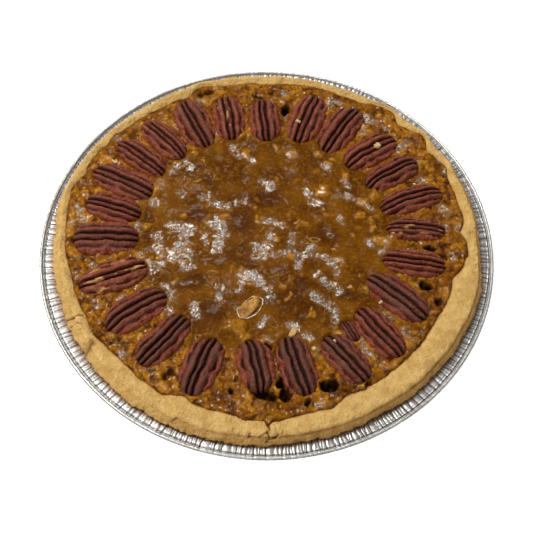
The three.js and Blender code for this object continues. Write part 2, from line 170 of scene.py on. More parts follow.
# Patches where the syrup's skin dried to a pale, crackled film, with painted sheen and highlights: width,
# strength, and the corners of a line through the patch, as x and y in turn.
FILMS = [
    (2.6, 0.85, -51.3, 8.5, -46.3, 8.2, -41.8, 6.3), (3.0, 1.0, -44.3, 0.5, -45.7, -5.2),
    (3.2, 1.0, -45.7, -5.2, -43.3, -9.1, -41.9, -16.6),
    (2.2, 0.65, -54.6, -10.5, -57.1, -5.4, -58.6, 2.1), (2.6, 0.75, -54.6, -10.5, -50, -11.5),
    (2.3, 1.0, -29.9, 9.1, -27.8, 11.8, -24.3, 5.3, -22.6, 3.3),
    (2.0, 0.9, -25.3, 1.4, -25.6, -3.6, -26.7, -6.8),
    (0.9, 0.8, -32.9, 3.5, -34.0, 0.5, -32.2, -1.5),
    (2.0, 0.9, -31.5, 26.5, -29.9, 23.5, -25.9, 22.0),
    (1.5, 0.8, -21.4, 21.7, -16.5, 23.3, -13.2, 24.7),
    (1.9, 0.9, -6.1, -3.3, -4.4, -7.1, -6.0, -11.4, -2.2, -10.7),
    (1.5, 0.85, 2.0, 1.8, 1.0, -3.2, -1.5, -7.4), (1.6, 0.85, -1.4, 12.2, 3.0, 11.6, 8.5, 8.5),
    (1.4, 0.85, 13.6, 2.4, 13.3, -2.8, 13.3, -8.1), (1.6, 0.7, 3.7, -10.2, 9.7, -8.3),
    (2.4, 0.9, -12.8, -23, -9.7, -21.1, -5.8, -24.8, -2.0, -27.8),
    (2.0, 0.75, -2.0, -27.8, 0.7, -30.2, 2.9, -33.8, 1.8, -37.4),
    (1.5, 0.6, -13.0, -27, -13.4, -32), (1.7, 0.6, -24.8, -30.6, -24.7, -36),
    (1.6, 0.6, 0.4, -47.2, -2.7, -52), (2.0, 0.75, 12.0, -51.7, 15.5, -52.3),
    (2.0, 0.8, -61.0, -18.2, -55.4, -16.2), (1.6, 0.8, -53.5, -29.5, -50.2, -34.6),
    (1.8, 0.8, -50.2, -43.0, -49.2, -44.4), (1.8, 1.0, -37.9, -41.0, -36.9, -43.4),
    (1.6, 0.7, -36.2, -46.0, -34.8, -47.6), (1.8, 0.7, -62.2, 23.0, -61.0, 21.2),
    (1.5, 0.7, -47.4, 29.0, -46.2, 26.6), (1.3, 0.7, -36.2, 27.2, -35.2, 25.9),
    (1.2, 0.7, -58.9, 33.8, -58.2, 32.4),
    (1.5, 0.85, -52.3, 41.9, -49.5, 47.2, -44.6, 49.6, -42.6, 46.4),
    (1.3, 0.95, -19.9, 60.5, -18.2, 55.4, -15.3, 54.3),
    (1.6, 1.0, -3.6, 38.2, -0.8, 36.2, 2.6, 34.5), (1.6, 0.8, 12.7, 56.2, 15.4, 55.2),
    (1.0, 0.8, -10.2, 53.3, -8.5, 51.5), (1.2, 0.8, 21.0, 31.8, 22.2, 28.4),
    (1.0, 0.8, 22.4, 24.6, 25.2, 24.6, 28.3, 22.8), (1.2, 1.0, 43.6, 29.0, 45.6, 26.8),
    (1.2, 0.9, 41.6, 38.6, 44.0, 34.6), (1.3, 0.9, 31.4, 49.6, 33.6, 46.6),
    (1.0, 0.9, 49.0, 24.9, 51.0, 23.2), (1.1, 0.9, 53.2, 22.6, 55.8, 20.2),
    (1.0, 0.95, 53.6, 0.6, 56.4, -3.4), (1.3, 0.8, 60.4, -6.4, 62.6, -8.6),
    (1.2, 0.7, 38.4, 13.8, 40.2, 11.2), (1.1, 0.7, 31.6, 7.2, 34.4, 2.8),
    (2.3, 0.95, 23.8, -5.8, 21.6, -9.0, 16.4, -11.2), (1.6, 0.8, 16.4, -11.2, 16.4, -16.6),
    (1.5, 0.9, 29.3, -10.2, 33.9, -12.3, 38.9, -13.3), (2.0, 0.85, 34.6, -14.6, 37.0, -19.0),
    (1.9, 0.9, 27.2, -21.8, 30.3, -25.8, 33.7, -28.4, 38.2, -31),
    (2.0, 1.0, 25.2, -34.6, 28.6, -37.2, 32.2, -39.2),
    (1.7, 0.8, 34.0, -40.6, 35.8, -44.0, 35.6, -47.6), (0.9, 0.8, 55.6, -18.9, 56.6, -20.9),
    (1.4, 1.0, -88.6, -39.4, -87.7, -40.8), (1.0, 1.0, -75.0, -36.2, -77.3, -38.5),
    (1.0, 0.9, -91.9, -17.1, -91.1, -17.8), (1.0, 0.85, -100.4, -22.1, -99.8, -23.9),
    (1.7, 0.8, -62.7, -16.7, -59.5, -20.6), (1.7, 0.75, -53.6, -29.4, -51.9, -32.2, -48.4, -37.9),
    (1.4, 1.0, -50.0, -43.4, -49.5, -45.3), (0.9, 1.0, -26.5, -62.3, -26.0, -63.0),
    (1.2, 0.7, -73.9, -68.0, -72.3, -69.3), (1.2, 0.8, -67.8, -10.4, -66.2, -11.1),
    (1.0, 1.0, -85.0, 66.3, -84.1, 65.2), (1.3, 0.7, -40.0, 93.5, -37.8, 91.8),
    (0.9, 0.9, -29.2, 71.7, -28.8, 69.3), (1.3, 0.9, -99.2, 13.8, -97.9, 11.4),
    (0.9, 0.9, -105.3, 9.9, -104.9, 7.9), (1.2, 0.75, -102.6, 20.1, -101.3, 16.9),
    (1.6, 0.85, -69.8, 7.3, -68.9, 3.2), (1.1, 0.9, -59.5, 35.5, -58.3, 32.0),
    (1.3, 0.85, -62.3, 23.9, -61.1, 21.6), (1.6, 1.0, 20.5, -57.1, 23.0, -58.5),
    (1.2, 0.95, 50.9, -65.6, 52.6, -67.8), (1.4, 0.7, 27.0, -65.8, 28.0, -68.3),
    (1.6, 0.65, 70.7, -53.8, 74.6, -58.3), (1.1, 0.8, 0.7, -59.1, 1.4, -60.8),
    (1.0, 0.9, 48.3, -60.5, 48.7, -62.5), (1.0, 0.8, 60.5, -43.2, 64.5, -46.1),
    (1.0, 0.85, 26.9, -96.1, 28.7, -94.2), (1.2, 0.95, 34.4, 96.1, 35.1, 91.3),
    (1.2, 0.85, 38.7, 93.9, 41.2, 92.2), (1.2, 0.9, 8.7, 100.2, 9.2, 97.7),
    (1.6, 1.0, 55.4, 82.6, 59.7, 79.9), (1.2, 0.9, 54.6, 75.6, 52.4, 71.9),
    (1.1, 0.9, 65.3, 76.0, 67.0, 74.8), (1.6, 0.95, 76.9, 65.7, 74.0, 62.7, 72.6, 59.8),
    (1.3, 1.0, 81.0, 52.8, 83.4, 52.2), (1.5, 0.8, 83.4, 41.2, 85.9, 39.7),
    (1.9, 0.9, 94.6, 22.5, 97.6, 19.3), (1.0, 0.9, 97.5, 46.6, 98.2, 45.0),
    (1.1, 0.9, 103.1, 10.2, 103.8, 7.9), (1.1, 0.85, 96.3, 10.8, 96.9, 8.8),
    (1.1, 0.9, 98.0, -7.7, 99.0, -9.7), (1.2, 0.8, 61.3, -7.9, 64.6, 1.0),
    (1.0, 0.85, 94.5, 54.8, 95.7, 53.5),
]

# The rim of the burst bubble round the large piece of nut.
BUBBLE = {"middle": (-8.2, -42.0), "reach": (8.0, 4.7), "turn": 47, "thick": 0.3}

# Clear, dark places in the syrup: place and radius along x and y.
DEEPS = [
    (-16, -8.5, 8, 9), (-38.5, -25.5, 9, 6), (10.5, -36.5, 12, 8), (20, -44, 9, 7),
    (-28, -45, 8, 9), (-65, 9, 4, 12), (-38, 16, 7, 5), (-13, 12, 8, 8), (43, -34, 7, 4),
    (31, 4, 8, 7), (-2, 27, 10, 6), (-34, 38, 8, 5), (20, -28, 9, 4),
]

# Bits of nut that stand out: place, length, width, height, turn, lift over the skin, and paleness.
NUT_BITS = [
    (-8.2, -42.0, 15.6, 7.0, 3.8, 47, 0.3, 0.1), (14, -56, 6.2, 3.0, 3.2, 60, 0.6, 0.5),
    (44, -29, 6.4, 3.8, 2.4, 15, -0.2, 0.3), (-85.6, 50.6, 5.0, 3.4, 3.0, 150, 0.2, 1.0),
    (60.6, 60.6, 3.6, 2.8, 2.2, 30, 4.6, 0.8), (16.7, 76.0, 1.6, 2.6, 1.8, 70, 4.8, 0.8),
    (-80.5, 57.5, 2.4, 1.6, 1.4, 0, 0.4, 0.6), (36.6, -60.5, 4.6, 2.4, 2.2, 20, 1.8, 0.9),
    (24.5, -66.5, 2.0, 1.8, 1.6, 20, 4.6, 0.9), (59, -39.5, 2.2, 1.2, 1.2, 40, 4.8, 1.0),
]


def lerp(a, b, share):
    return a + (b - a) * share


def ease(share):
    share = np.clip(share, 0, 1)
    return share * share * (3 - 2 * share)


def bell(distance, width):
    """1 at no distance, falling off smoothly over width."""
    return np.exp(-((distance / width) ** 2))


# Reading the frame


def solid_points(node):
    """The corners of a node's solid, in millimetres."""
    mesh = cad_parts[node].data
    points = np.empty(len(mesh.vertices) * 3)
    mesh.vertices.foreach_get("co", points)
    return points.reshape(-1, 3) / MM


def smooth_ring(values):
    """Evenly spaced values round a circle as a smooth function of the angle in radians."""
    terms = np.fft.rfft(values) / len(values)

    def read(angle):
        total = np.full(np.shape(angle), terms[0].real)
        for k, term in enumerate(terms[1:-1], 1):
            total += 2 * (term.real * np.cos(k * angle) - term.imag * np.sin(k * angle))
        return total

    return read


# How the crust's solid is read: its columns, a column's reach in degrees, the radius past which the wall
# lies, and how far below its highest point the lip may be.
COLUMNS = 72
COLUMN_REACH = 0.1
WALL_FROM = 60
LIP_DROP = 1.3


def ring_reading(points, reading):
    """Reads the crust's section at each of its columns, and returns the result as a smooth ring."""
    turns = np.degrees(np.arctan2(points[:, 1], points[:, 0])) % 360
    radii = np.hypot(points[:, 0], points[:, 1])
    values = []
    for column in range(COLUMNS):
        off = (turns - column * 360 / COLUMNS + 180) % 360 - 180
        here = (abs(off) < COLUMN_REACH) & (radii > WALL_FROM)
        values.append(reading(radii[here], points[here, 2]))
    return smooth_ring(values)


crust_points = solid_points("crust")
lip_of = ring_reading(crust_points, lambda radii, heights: radii[heights > heights.max() - LIP_DROP].min())
reach_of = ring_reading(crust_points, lambda radii, heights: radii.max())
crest_of = ring_reading(crust_points, lambda radii, heights: heights.max())
crust_top = crust_points[:, 2].max()
rim_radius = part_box("foil_tin")[1].x / MM


def edge_of(angle):
    """How far out the filling's edge is at each angle in radians."""
    edge = lip_of(angle)
    for turn, width, reach in TONGUES:
        apart = (np.degrees(angle) - turn + 180) % 360 - 180
        edge = edge + reach * bell(apart, width)
    return np.minimum(edge, reach_of(angle) - CRUST["least_lip"])


class Half:
    """Where a pecan half lies, read from its solid."""

    def __init__(self, node):
        points = solid_points(node)
        middle = (points.min(axis=0) + points.max(axis=0)) / 2
        flat = points[:, :2] - middle[:2]
        axis = np.linalg.eigh(flat.T @ flat)[1][:, 1]
        if axis @ middle[:2] < 0:
            axis = -axis
        along = flat @ axis
        outer, inner = points[along.argmax()], points[along.argmin()]
        centre = (outer + inner) / 2
        axis = (outer - inner)[:2] / np.linalg.norm((outer - inner)[:2])
        across = (points[:, :2] - centre[:2]) @ np.array([-axis[1], axis[0]])
        self.node = node
        self.x, self.y, self.z = centre
        self.axis = axis
        self.length = np.linalg.norm(outer - inner)
        self.width = across.max() - across.min()
        self.height = points[:, 2].max() - self.z
        self.rise = math.asin((outer - inner)[2] / self.length)

    def local(self, x, y):
        """A place in the half's own directions: along it, outwards, and across it."""
        dx, dy = x - self.x, y - self.y
        return dx * self.axis[0] + dy * self.axis[1], dy * self.axis[0] - dx * self.axis[1]

    def reach(self, x, y):
        """How far out a place is: 1 on the half's outline, less inside."""
        along, across = self.local(x, y)
        return np.sqrt(abs(along / (self.length / 2)) ** 2.6 + (across / (self.width / 2)) ** 2)


halves = [Half(f"pecan_{i:02d}") for i in range(1, 25)]
chip = Half("pecan_chip")


# Making shapes


def fractal(points, size, octaves, seed):
    """Soft noise from about -1 to 1, with features about as large as size."""
    shift = 17.3 * seed
    places = ((x / size + shift, y / size, z / size) for x, y, z in points)
    return np.array([noise.fractal(at, 0.9, 2.0, octaves, noise_basis="PERLIN_NEW") for at in places])


def cells(points, size, seed):
    """The distance to the nearest of many scattered points, in cell sizes, and a number for each cell."""
    shift = 11.7 * seed
    near, tags = [], []
    for x, y, z in points:
        distances, places = noise.voronoi((x / size + shift, y / size, z / size))
        near.append(distances[0])
        tags.append(places[0].x * 7.13 + places[0].y * 3.77)
    return np.array(near), np.array(tags) % 1


def read_points(bm):
    return np.array([vert.co[:] for vert in bm.verts])


def turned(radius, angle, height):
    """Places at this radius, angle and height."""
    return np.c_[radius * np.cos(angle), radius * np.sin(angle), height]


def move_points(bm, points):
    for vert, place in zip(bm.verts, points):
        vert.co = place * MM


def store_fields(bm, fields):
    """Keeps each field's values, from 0 to 1, on the points, for the materials to read."""
    for field, values in fields.items():
        layer = bm.verts.layers.float.new(field)
        for vert, value in zip(bm.verts, np.clip(values, 0, 1)):
            vert[layer] = value


def finish_piece(name, bm, material):
    """Turns a bmesh into a named, smooth object."""
    bmesh.ops.remove_doubles(bm, verts=bm.verts, dist=1e-6)
    bmesh.ops.recalc_face_normals(bm, faces=bm.faces)
    mesh = bpy.data.meshes.new(name)
    bm.to_mesh(mesh)
    bm.free()
    mesh.shade_smooth()
    mesh.materials.append(material)
    piece = bpy.data.objects.new(name, mesh)
    bpy.context.collection.objects.link(piece)
    return piece


def dress(piece, slot, *nodes):
    """Lets a piece stand for its solids, and ride with the pie."""
    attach(piece, "root")
    if nodes:
        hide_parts(*nodes)


def turned_grid(rows, columns):
    """A grid for a turned piece, with each point's angle round the pie and its row in the section."""
    bm = bmesh.new()
    bmesh.ops.create_grid(bm, x_segments=columns, y_segments=rows - 1, size=1)
    flat = (read_points(bm) + 1) / 2
    return bm, flat[:, 0] * math.tau, np.rint(flat[:, 1] * (rows - 1)).astype(int)


def through(controls, share):
    """A smooth line through its control values at a share of its length, from 0 to 1."""
    controls = np.asarray(controls)
    place = np.clip(share, 0, 1) * (len(controls) - 1)
    before = np.minimum(place.astype(int), len(controls) - 2)
    t = place - before
    pick = np.arange(controls.shape[1])

    def at(step):
        return controls[np.clip(before + step, 0, len(controls) - 1), pick]

    a, b, c, d = at(-1), at(0), at(1), at(2)
    return b + 0.5 * t * (c - a + t * (2 * a - 5 * b + 4 * c - d + t * (3 * (b - c) + d - a)))


def near_line(x, y, corners):
    """The distance from each place to a line through its corners."""
    nearest = np.full(len(x), 1e9)
    for (ax, ay), (bx, by) in zip(corners, corners[1:]):
        dx, dy = bx - ax, by - ay
        share = np.clip(((x - ax) * dx + (y - ay) * dy) / (dx * dx + dy * dy), 0, 1)
        nearest = np.minimum(nearest, np.hypot(x - ax - share * dx, y - ay - share * dy))
    return nearest


# Making materials


def feed(node, inputs):
    """Sets or links a node's inputs, by name or number."""
    for name, value in inputs.items():
        if isinstance(value, bpy.types.NodeSocket):
            node.id_data.links.new(value, node.inputs[name])
        else:
            node.inputs[name].default_value = value


def add(tree, kind, inputs=None, **settings):
    node = tree.nodes.new("ShaderNode" + kind)
    for name, value in settings.items():
        setattr(node, name, value)
    feed(node, inputs or {})
    return node


def maths(tree, operation, a, b=0.0, clamp=False):
    return add(tree, "Math", {0: a, 1: b}, operation=operation, use_clamp=clamp).outputs[0]


def times(tree, a, b):
    return maths(tree, "MULTIPLY", a, b)


def plus(tree, a, b, clamp=False):
    return maths(tree, "ADD", a, b, clamp)


def minus(tree, a, b):
    return maths(tree, "SUBTRACT", a, b)


def mix(tree, share, a, b):
    node = add(tree, "Mix", {0: share, 6: a, 7: b}, data_type="RGBA", clamp_factor=True)
    return node.outputs[2]


def spread(tree, value, low, high, to_low=0.0, to_high=1.0):
    node = add(tree, "MapRange", {0: value, 1: low, 2: high, 3: to_low, 4: to_high})
    return node.outputs[0]


def field(tree, name):
    return add(tree, "Attribute", attribute_name=name).outputs["Fac"]


def noise_at(tree, place, size, detail=3.0, roughness=0.55, distortion=0.0):
    inputs = {
        "Vector": place,
        "Scale": 1 / (size * MM),
        "Detail": detail,
        "Roughness": roughness,
        "Distortion": distortion,
    }
    return add(tree, "TexNoise", inputs).outputs[0]


def colour(red, green, blue):
    """A colour as seen on screen, from 0 to 255, as the light that a shader wants."""
    seen = (red / 255, green / 255, blue / 255)
    light = (c / 12.92 if c <= 0.04045 else ((c + 0.055) / 1.055) ** 2.4 for c in seen)
    return (*light, 1)


def new_group(name, colours, numbers, result, kind):
    """A shader node group that takes a place, colours and numbers, and gives one result."""
    group = bpy.data.node_groups.new(name, "ShaderNodeTree")
    group.interface.new_socket("Place", in_out="INPUT", socket_type="NodeSocketVector")
    for label in colours:
        group.interface.new_socket(label, in_out="INPUT", socket_type="NodeSocketColor")
    for label in numbers:
        group.interface.new_socket(label, in_out="INPUT", socket_type="NodeSocketFloat")
    group.interface.new_socket(result, in_out="OUTPUT", socket_type=kind)
    return group, group.nodes.new("NodeGroupInput").outputs, group.nodes.new("NodeGroupOutput").inputs


def make_mottling():
    """Uneven colour: broad patches and fine specks of a second and a third colour over the first."""
    colours, numbers = ("Base", "Patches", "Specks"), ("Patch Scale", "Speck Scale", "Speck Amount")
    group, given, wanted = new_group("mottling", colours, numbers, "Color", "NodeSocketColor")
    place = given["Place"]
    patches = add(group, "TexNoise", {"Vector": place, "Scale": given["Patch Scale"], "Detail": 4.0})
    specks = add(group, "TexNoise", {"Vector": place, "Scale": given["Speck Scale"], "Detail": 2.0})
    patched = mix(group, spread(group, patches.outputs[0], 0.38, 0.62), given["Base"], given["Patches"])
    share = times(group, spread(group, specks.outputs[0], 0.5, 0.68), given["Speck Amount"])
    group.links.new(mix(group, share, patched, given["Specks"]), wanted["Color"])
    return group


def make_grit():
    """The height of a dry, grainy surface: fine grains over soft lumps."""
    numbers = ("Grain Scale", "Lump Scale", "Lumps")
    group, given, wanted = new_group("grit", (), numbers, "Height", "NodeSocketFloat")
    place = given["Place"]
    grains = add(group, "TexVoronoi", {"Vector": place, "Scale": given["Grain Scale"]})
    lumps = add(group, "TexNoise", {"Vector": place, "Scale": given["Lump Scale"], "Detail": 5.0})
    lumpy = times(group, lumps.outputs[0], given["Lumps"])
    grainy = times(group, grains.outputs["Distance"], 0.5)
    group.links.new(minus(group, lumpy, grainy), wanted["Height"])
    return group


mottling = make_mottling()
grit = make_grit()


def new_material(name):
    """A material, its node tree, its principled shader, and places on the piece."""
    material = bpy.data.materials.new(name)
    material.use_nodes = True
    tree = material.node_tree
    shader = tree.nodes["Principled BSDF"]
    place = add(tree, "TexCoord").outputs["Object"]
    return material, tree, shader, place


def mottled(tree, place, base, patches, specks, patch_scale, speck_scale, speck_amount):
    """A mottled colour, from three colours and the fineness of the patches and specks."""
    inputs = {"Place": place, "Base": colour(*base), "Patches": colour(*patches), "Specks": colour(*specks)}
    inputs |= {"Patch Scale": patch_scale, "Speck Scale": speck_scale, "Speck Amount": speck_amount}
    return add(tree, "Group", inputs, node_tree=mottling).outputs[0]


def gritty(tree, place, grain_scale, lump_scale, lumps):
    inputs = {"Place": place, "Grain Scale": grain_scale, "Lump Scale": lump_scale, "Lumps": lumps}
    return add(tree, "Group", inputs, node_tree=grit).outputs[0]


def bump(tree, height, distance):
    """The surface's direction with a relief of this height, in millimetres."""
    return add(tree, "Bump", {"Height": height, "Distance": distance * MM}).outputs[0]


def make_foil():
    material, tree, shader, place = new_material("pleated foil")
    smears = spread(tree, noise_at(tree, place, 9, detail=4), 0.35, 0.7)
    bright = mix(tree, smears, colour(212, 210, 207), colour(190, 187, 182))
    # Painted reflection of the crust: the foil turns brown just outside the crust's foot.
    painted_crust_reflection = mix(tree, field(tree, "painted_crust_reflection"), bright, colour(150, 112, 82))
    # Painted shade: the foil is darkened in its folds, in the groove inside the bead, along the bead's
    # outer edge and towards its left and right sides.
    shaded_foil = mix(tree, field(tree, "painted_shade"), painted_crust_reflection, colour(66, 62, 57))
    crinkles = noise_at(tree, place, 2.4, detail=3, roughness=0.5)
    finish = {
        "Base Color": shaded_foil,
        "Metallic": 0.72,
        "Roughness": spread(tree, noise_at(tree, place, 3, detail=5), 0.3, 0.7, 0.28, 0.42),
        "Normal": bump(tree, crinkles, 0.1),
    }
    feed(shader, finish)
    return material


def make_crust():
    material, tree, shader, place = new_material("shortcrust")
    sandy = mottled(tree, place, (198, 158, 90), (216, 178, 110), (184, 142, 76), 160, 1100, 0.6)
    # Partly toasting and partly painted shade: browner along the crust's foot, and painted shade along the
    # step, on the side below it where the crust is steep, between crumbs and in the low places between
    # lumps.
    toasted_and_shaded = mix(tree, field(tree, "toast_and_painted_shade"), sandy, colour(160, 112, 52))
    # Painted shade in the crust's cracks and pits.
    split = mix(tree, field(tree, "painted_crack_shade"), toasted_and_shaded, colour(110, 66, 28))
    soaked = mix(tree, field(tree, "syrup"), split, colour(112, 66, 22))
    crumb = bump(tree, gritty(tree, place, 1100, 420, 1.3), 0.7)
    feed(shader, {"Base Color": soaked, "Roughness": 0.85, "Specular IOR Level": 0.2, "Normal": crumb})
    return material


def painted_film_glints(tree, place, film_and_painted_sheen):
    """Painted highlights: pale flecks on the dried film that stand in for its glints."""
    uneven = spread(tree, noise_at(tree, place, 4.2, detail=2, roughness=0.6), 0.38, 0.6, -0.06, 0.16)
    fine_crackle = noise_at(tree, place, 1.2, detail=3, roughness=0.7, distortion=0.5)
    crackle = plus(tree, fine_crackle, times(tree, film_and_painted_sheen, uneven))
    return times(tree, spread(tree, crackle, 0.56, 0.68), spread(tree, film_and_painted_sheen, 0.3, 0.8))


def sugar_threads(tree, place, foam):
    """Fine, far-apart threads of sugar in the clear syrup."""
    veins = noise_at(tree, place, 34, detail=3, roughness=0.5, distortion=0.4)
    line = spread(tree, maths(tree, "ABSOLUTE", minus(tree, veins, 0.5)), 0, 0.0035, 1, 0)
    patch = spread(tree, noise_at(tree, place, 34, detail=1), 0.5, 0.58)
    return times(tree, times(tree, line, patch), minus(tree, 1.0, foam))


def make_filling():
    """Clear brown syrup, frothy near the crust, with golden lumps, painted shade in its holes and hollows,
    and a dried film with painted sheen and highlights.
    """
    material, tree, shader, place = new_material("pecan syrup filling")
    foam, low, gold, film_and_painted_sheen, painted_hollow_shade = (field(tree, name) for name in ("foam", "low", "gold", "film_and_painted_sheen", "painted_hollow_shade"))
    bubbles = add(tree, "TexVoronoi", {"Vector": place, "Scale": 1 / (2.2 * MM)}).outputs["Distance"]
    painted_glints = painted_film_glints(tree, place, film_and_painted_sheen)
    thread = sugar_threads(tree, place, foam)
    grainy = spread(tree, noise_at(tree, place, 1.3, detail=3, roughness=0.7), 0.38, 0.6, 0.55, 1.0)
    worn = spread(tree, noise_at(tree, place, 1.9, detail=3, roughness=0.6), 0.36, 0.56, 0.25, 1.0)
    gold = times(tree, gold, worn)

    # From the clear syrup up to what lies on it
    syrup = mottled(tree, place, (82, 42, 1), (110, 65, 5), (142, 94, 20), 90, 640, 0.5)
    froth = mottled(tree, place, (142, 84, 8), (184, 122, 20), (100, 46, 8), 120, 330, 0.6)
    # Painted shade in the gaps between the froth's bubbles.
    froth_with_painted_shade = mix(tree, spread(tree, bubbles, 0.4, 0.66, 0, 0.5), froth, colour(88, 40, 6))
    shade = mix(tree, foam, syrup, froth_with_painted_shade)
    layers = [
        # Darker in low places: painted shade in the hollows between mounds, and the darker colour of deep,
        # clear syrup.
        (times(tree, low, grainy), (66, 29, 2)),
        (gold, (184, 124, 26)),
        # The film's paler tint: partly the dried skin's own colour and partly painted sheen.
        (times(tree, film_and_painted_sheen, 0.4), (144, 116, 82)),
        # Painted highlights: pale flecks that stand in for glints on the film.
        (times(tree, painted_glints, 0.78), (214, 211, 206)),
        (times(tree, thread, 0.5), (186, 142, 74)),
        # Painted shade in the holes, round the halves and along the crust.
        (painted_hollow_shade, (24, 7, 3)),
    ]
    for share, tint in layers:
        shade = mix(tree, share, shade, colour(*tint))

    # The glaze
    beads = spread(tree, noise_at(tree, place, 2.4, detail=2), 0.52, 0.6, 0.06, 1.0)
    wet = plus(tree, times(tree, foam, beads), times(tree, gold, 0.8))
    glossy = plus(tree, plus(tree, film_and_painted_sheen, thread), wet, clamp=True)
    glazed = times(tree, minus(tree, 1.0, painted_hollow_shade), maths(tree, "MAXIMUM", glossy, 0.03))

    # The fine relief
    ripples = noise_at(tree, place, 1.6, detail=2, roughness=0.45, distortion=0.8)
    rippled = times(tree, ripples, spread(tree, foam, 0, 1, 0.08, 0.3))
    folds = noise_at(tree, place, 3.4, detail=2, roughness=0.5, distortion=1.6)
    creases = maths(tree, "ABSOLUTE", minus(tree, folds, 0.5))
    crinkled = times(tree, plus(tree, creases, painted_glints), times(tree, film_and_painted_sheen, 0.6))
    domed = times(tree, bubbles, times(tree, foam, -1.6))
    relief = plus(tree, plus(tree, rippled, crinkled), domed)
    bumped = bump(tree, plus(tree, relief, times(tree, thread, 0.3)), 0.4)

    finish = {
        "Base Color": shade,
        "Roughness": spread(tree, painted_hollow_shade, 0, 1, 0.4, 0.8),
        "Specular IOR Level": 0.02,
        "Coat Weight": glazed,
        "Coat Roughness": 0.035,
        "Normal": bumped,
        "Coat Normal": bumped,
    }
    feed(shader, finish)
    return material


def make_sugar():
    material, tree, shader, place = new_material("dried sugar rim")
    clear = spread(tree, noise_at(tree, place, 2.2, detail=2), 0.4, 0.6)
    shade = mix(tree, clear, colour(222, 214, 196), colour(168, 140, 104))
    grains = bump(tree, noise_at(tree, place, 0.6, detail=2), 0.1)
    feed(shader, {"Base Color": shade, "Roughness": 0.3, "Normal": grains})
    return material


def make_pecan():
    material, tree, shader, place = new_material("roasted pecan")
    skin = mottled(tree, place, (126, 51, 28), (98, 33, 17), (158, 80, 50), 170, 950, 0.65)
    streaked = mix(tree, field(tree, "streak"), skin, colour(94, 42, 28))
    # Painted highlight along the lobes' ridges.
    painted_ridge_highlight = mix(tree, times(tree, field(tree, "crest"), 0.5), streaked, colour(172, 98, 68))
    dusky = mix(tree, field(tree, "dusk"), painted_ridge_highlight, colour(84, 52, 40))
    # Painted shade in the grooves and on the underside.
    painted_groove_shade = mix(tree, field(tree, "groove"), dusky, colour(36, 11, 6))
    smeared = mix(tree, field(tree, "smear"), painted_groove_shade, colour(206, 158, 90))
    wrinkles = bump(tree, gritty(tree, place, 1300, 620, 1.7), 0.5)
    feed(shader, {"Base Color": smeared, "Roughness": 0.42, "Specular IOR Level": 0.2, "Normal": wrinkles})
    return material


def make_nut():
    material, tree, shader, place = new_material("syrup-glazed nut")
    golden = mottled(tree, place, (196, 140, 40), (142, 80, 18), (92, 40, 20), 260, 800, 0.9)
    shade = mix(tree, field(tree, "pale"), golden, colour(222, 190, 128))
    lumps = bump(tree, noise_at(tree, place, 1.2, detail=4), 0.5)
    feed(shader, {"Base Color": shade, "Roughness": 0.4, "Specular IOR Level": 0.3, "Normal": lumps})
    return material


# The tin


def pleat_rise(angle, radius, draw):
    """The height of the pleats at each place: bowed lands between sharp folds that lean in and out. It also
    gives how near each place lies to a fold, for the painted shade in the folds.
    """
    gaps, deeps = [], []
    while sum(gaps) < math.tau * TIN["mouth_radius"]:
        creases = draw.choice((1, 2, 2, 3))
        gap = draw.uniform(*TIN["pleat_gap"])
        shares = [draw.uniform(0.6, 1.4) for _ in range(creases)]
        gaps += [gap * part / sum(shares) for part in shares]
        deeps += [draw.uniform(0.25, 0.65) for _ in range(creases - 1)] + [draw.uniform(0.85, 1)]
    folds = np.cumsum(gaps) / sum(gaps) * math.tau
    deeps = np.array(deeps)
    skews = np.array([draw.uniform(-1, 1) for _ in folds]) * TIN["pleat_skew"] / TIN["mouth_radius"]
    bows = np.array([draw.uniform(*TIN["pleat_rise"]) for _ in folds])
    tilts = np.array([draw.uniform(-1, 1) for _ in folds]) * TIN["pleat_tilt"]
    tilts *= 1 + 0.7 * np.cos(folds)
    bows *= 1 + 0.4 * np.cos(folds)
    rise = np.zeros(len(angle))
    painted_fold_shade = np.zeros(len(angle))
    for level in np.unique(radius):
        here = radius == level
        lean = np.clip((level - TIN["flange_middle"]) / 4, -1, 1)
        placed = folds + skews * lean
        turn = (angle[here] - placed[0]) % math.tau + placed[0]
        land = np.clip(np.searchsorted(placed, turn, side="right") - 1, 0, len(placed) - 1)
        after = np.append(placed[1:], placed[0] + math.tau)[land]
        share = (turn - placed[land]) / (after - placed[land])
        before, behind = deeps[land], deeps[(land + 1) % len(deeps)]
        sink = before * bell(share, 0.3) + behind * bell(1 - share, 0.3)
        rise[here] = bows[land] * (1.3 - 2.2 * sink) + tilts[land] * (share - 0.5)
        wide = (after - placed[land]) * TIN["mouth_radius"]
        painted_fold_shade[here] = np.maximum(before * bell(share * wide, 0.3), behind * bell((1 - share) * wide, 0.3))
    return rise, painted_fold_shade


def tin_section(groove):
    """The tin's section, as radius and height: under the base, up the wall, round the bead and back."""
    base, mouth, height = TIN["base_radius"], TIN["mouth_radius"], TIN["flange_height"]
    bead, foil = TIN["bead"], TIN["foil"]
    profile = [(0, 0), (60, 0), (base - 0.8, 0), (base + 0.6, 0.35), (base + 1.5, 1.4)]
    for s in (0.15, 0.35, 0.6, 0.85, 1):
        profile.append((lerp(base + 1.5, mouth, s), lerp(1.4, height - foil, s)))
    profile += [(r, height - foil) for r in (mouth + 2, mouth + 5, groove)]
    for i in range(12):
        turn = math.radians(lerp(-150, 165, i / 11))
        profile.append((rim_radius - bead * (1 - math.cos(turn)), height + 0.12 + bead * math.sin(turn)))
    profile += [(groove + 0.5, height - 0.1), (groove, height + 0.28), (groove - 0.55, height + 0.3)]
    profile += [(groove - 0.95, height - 0.12)]
    profile += [(lerp(groove - 1.3, mouth + 0.6, s), height + 0.02) for s in np.linspace(0, 1, 9)]
    profile += [(mouth - 0.1, height - 0.3), (mouth - 1.6, height - 2.8), (base + 8, 12)]
    profile += [(base + 1.1, 1.5), (base - 0.5, foil + 0.05), (45, foil), (0, foil)]
    return np.array(profile)


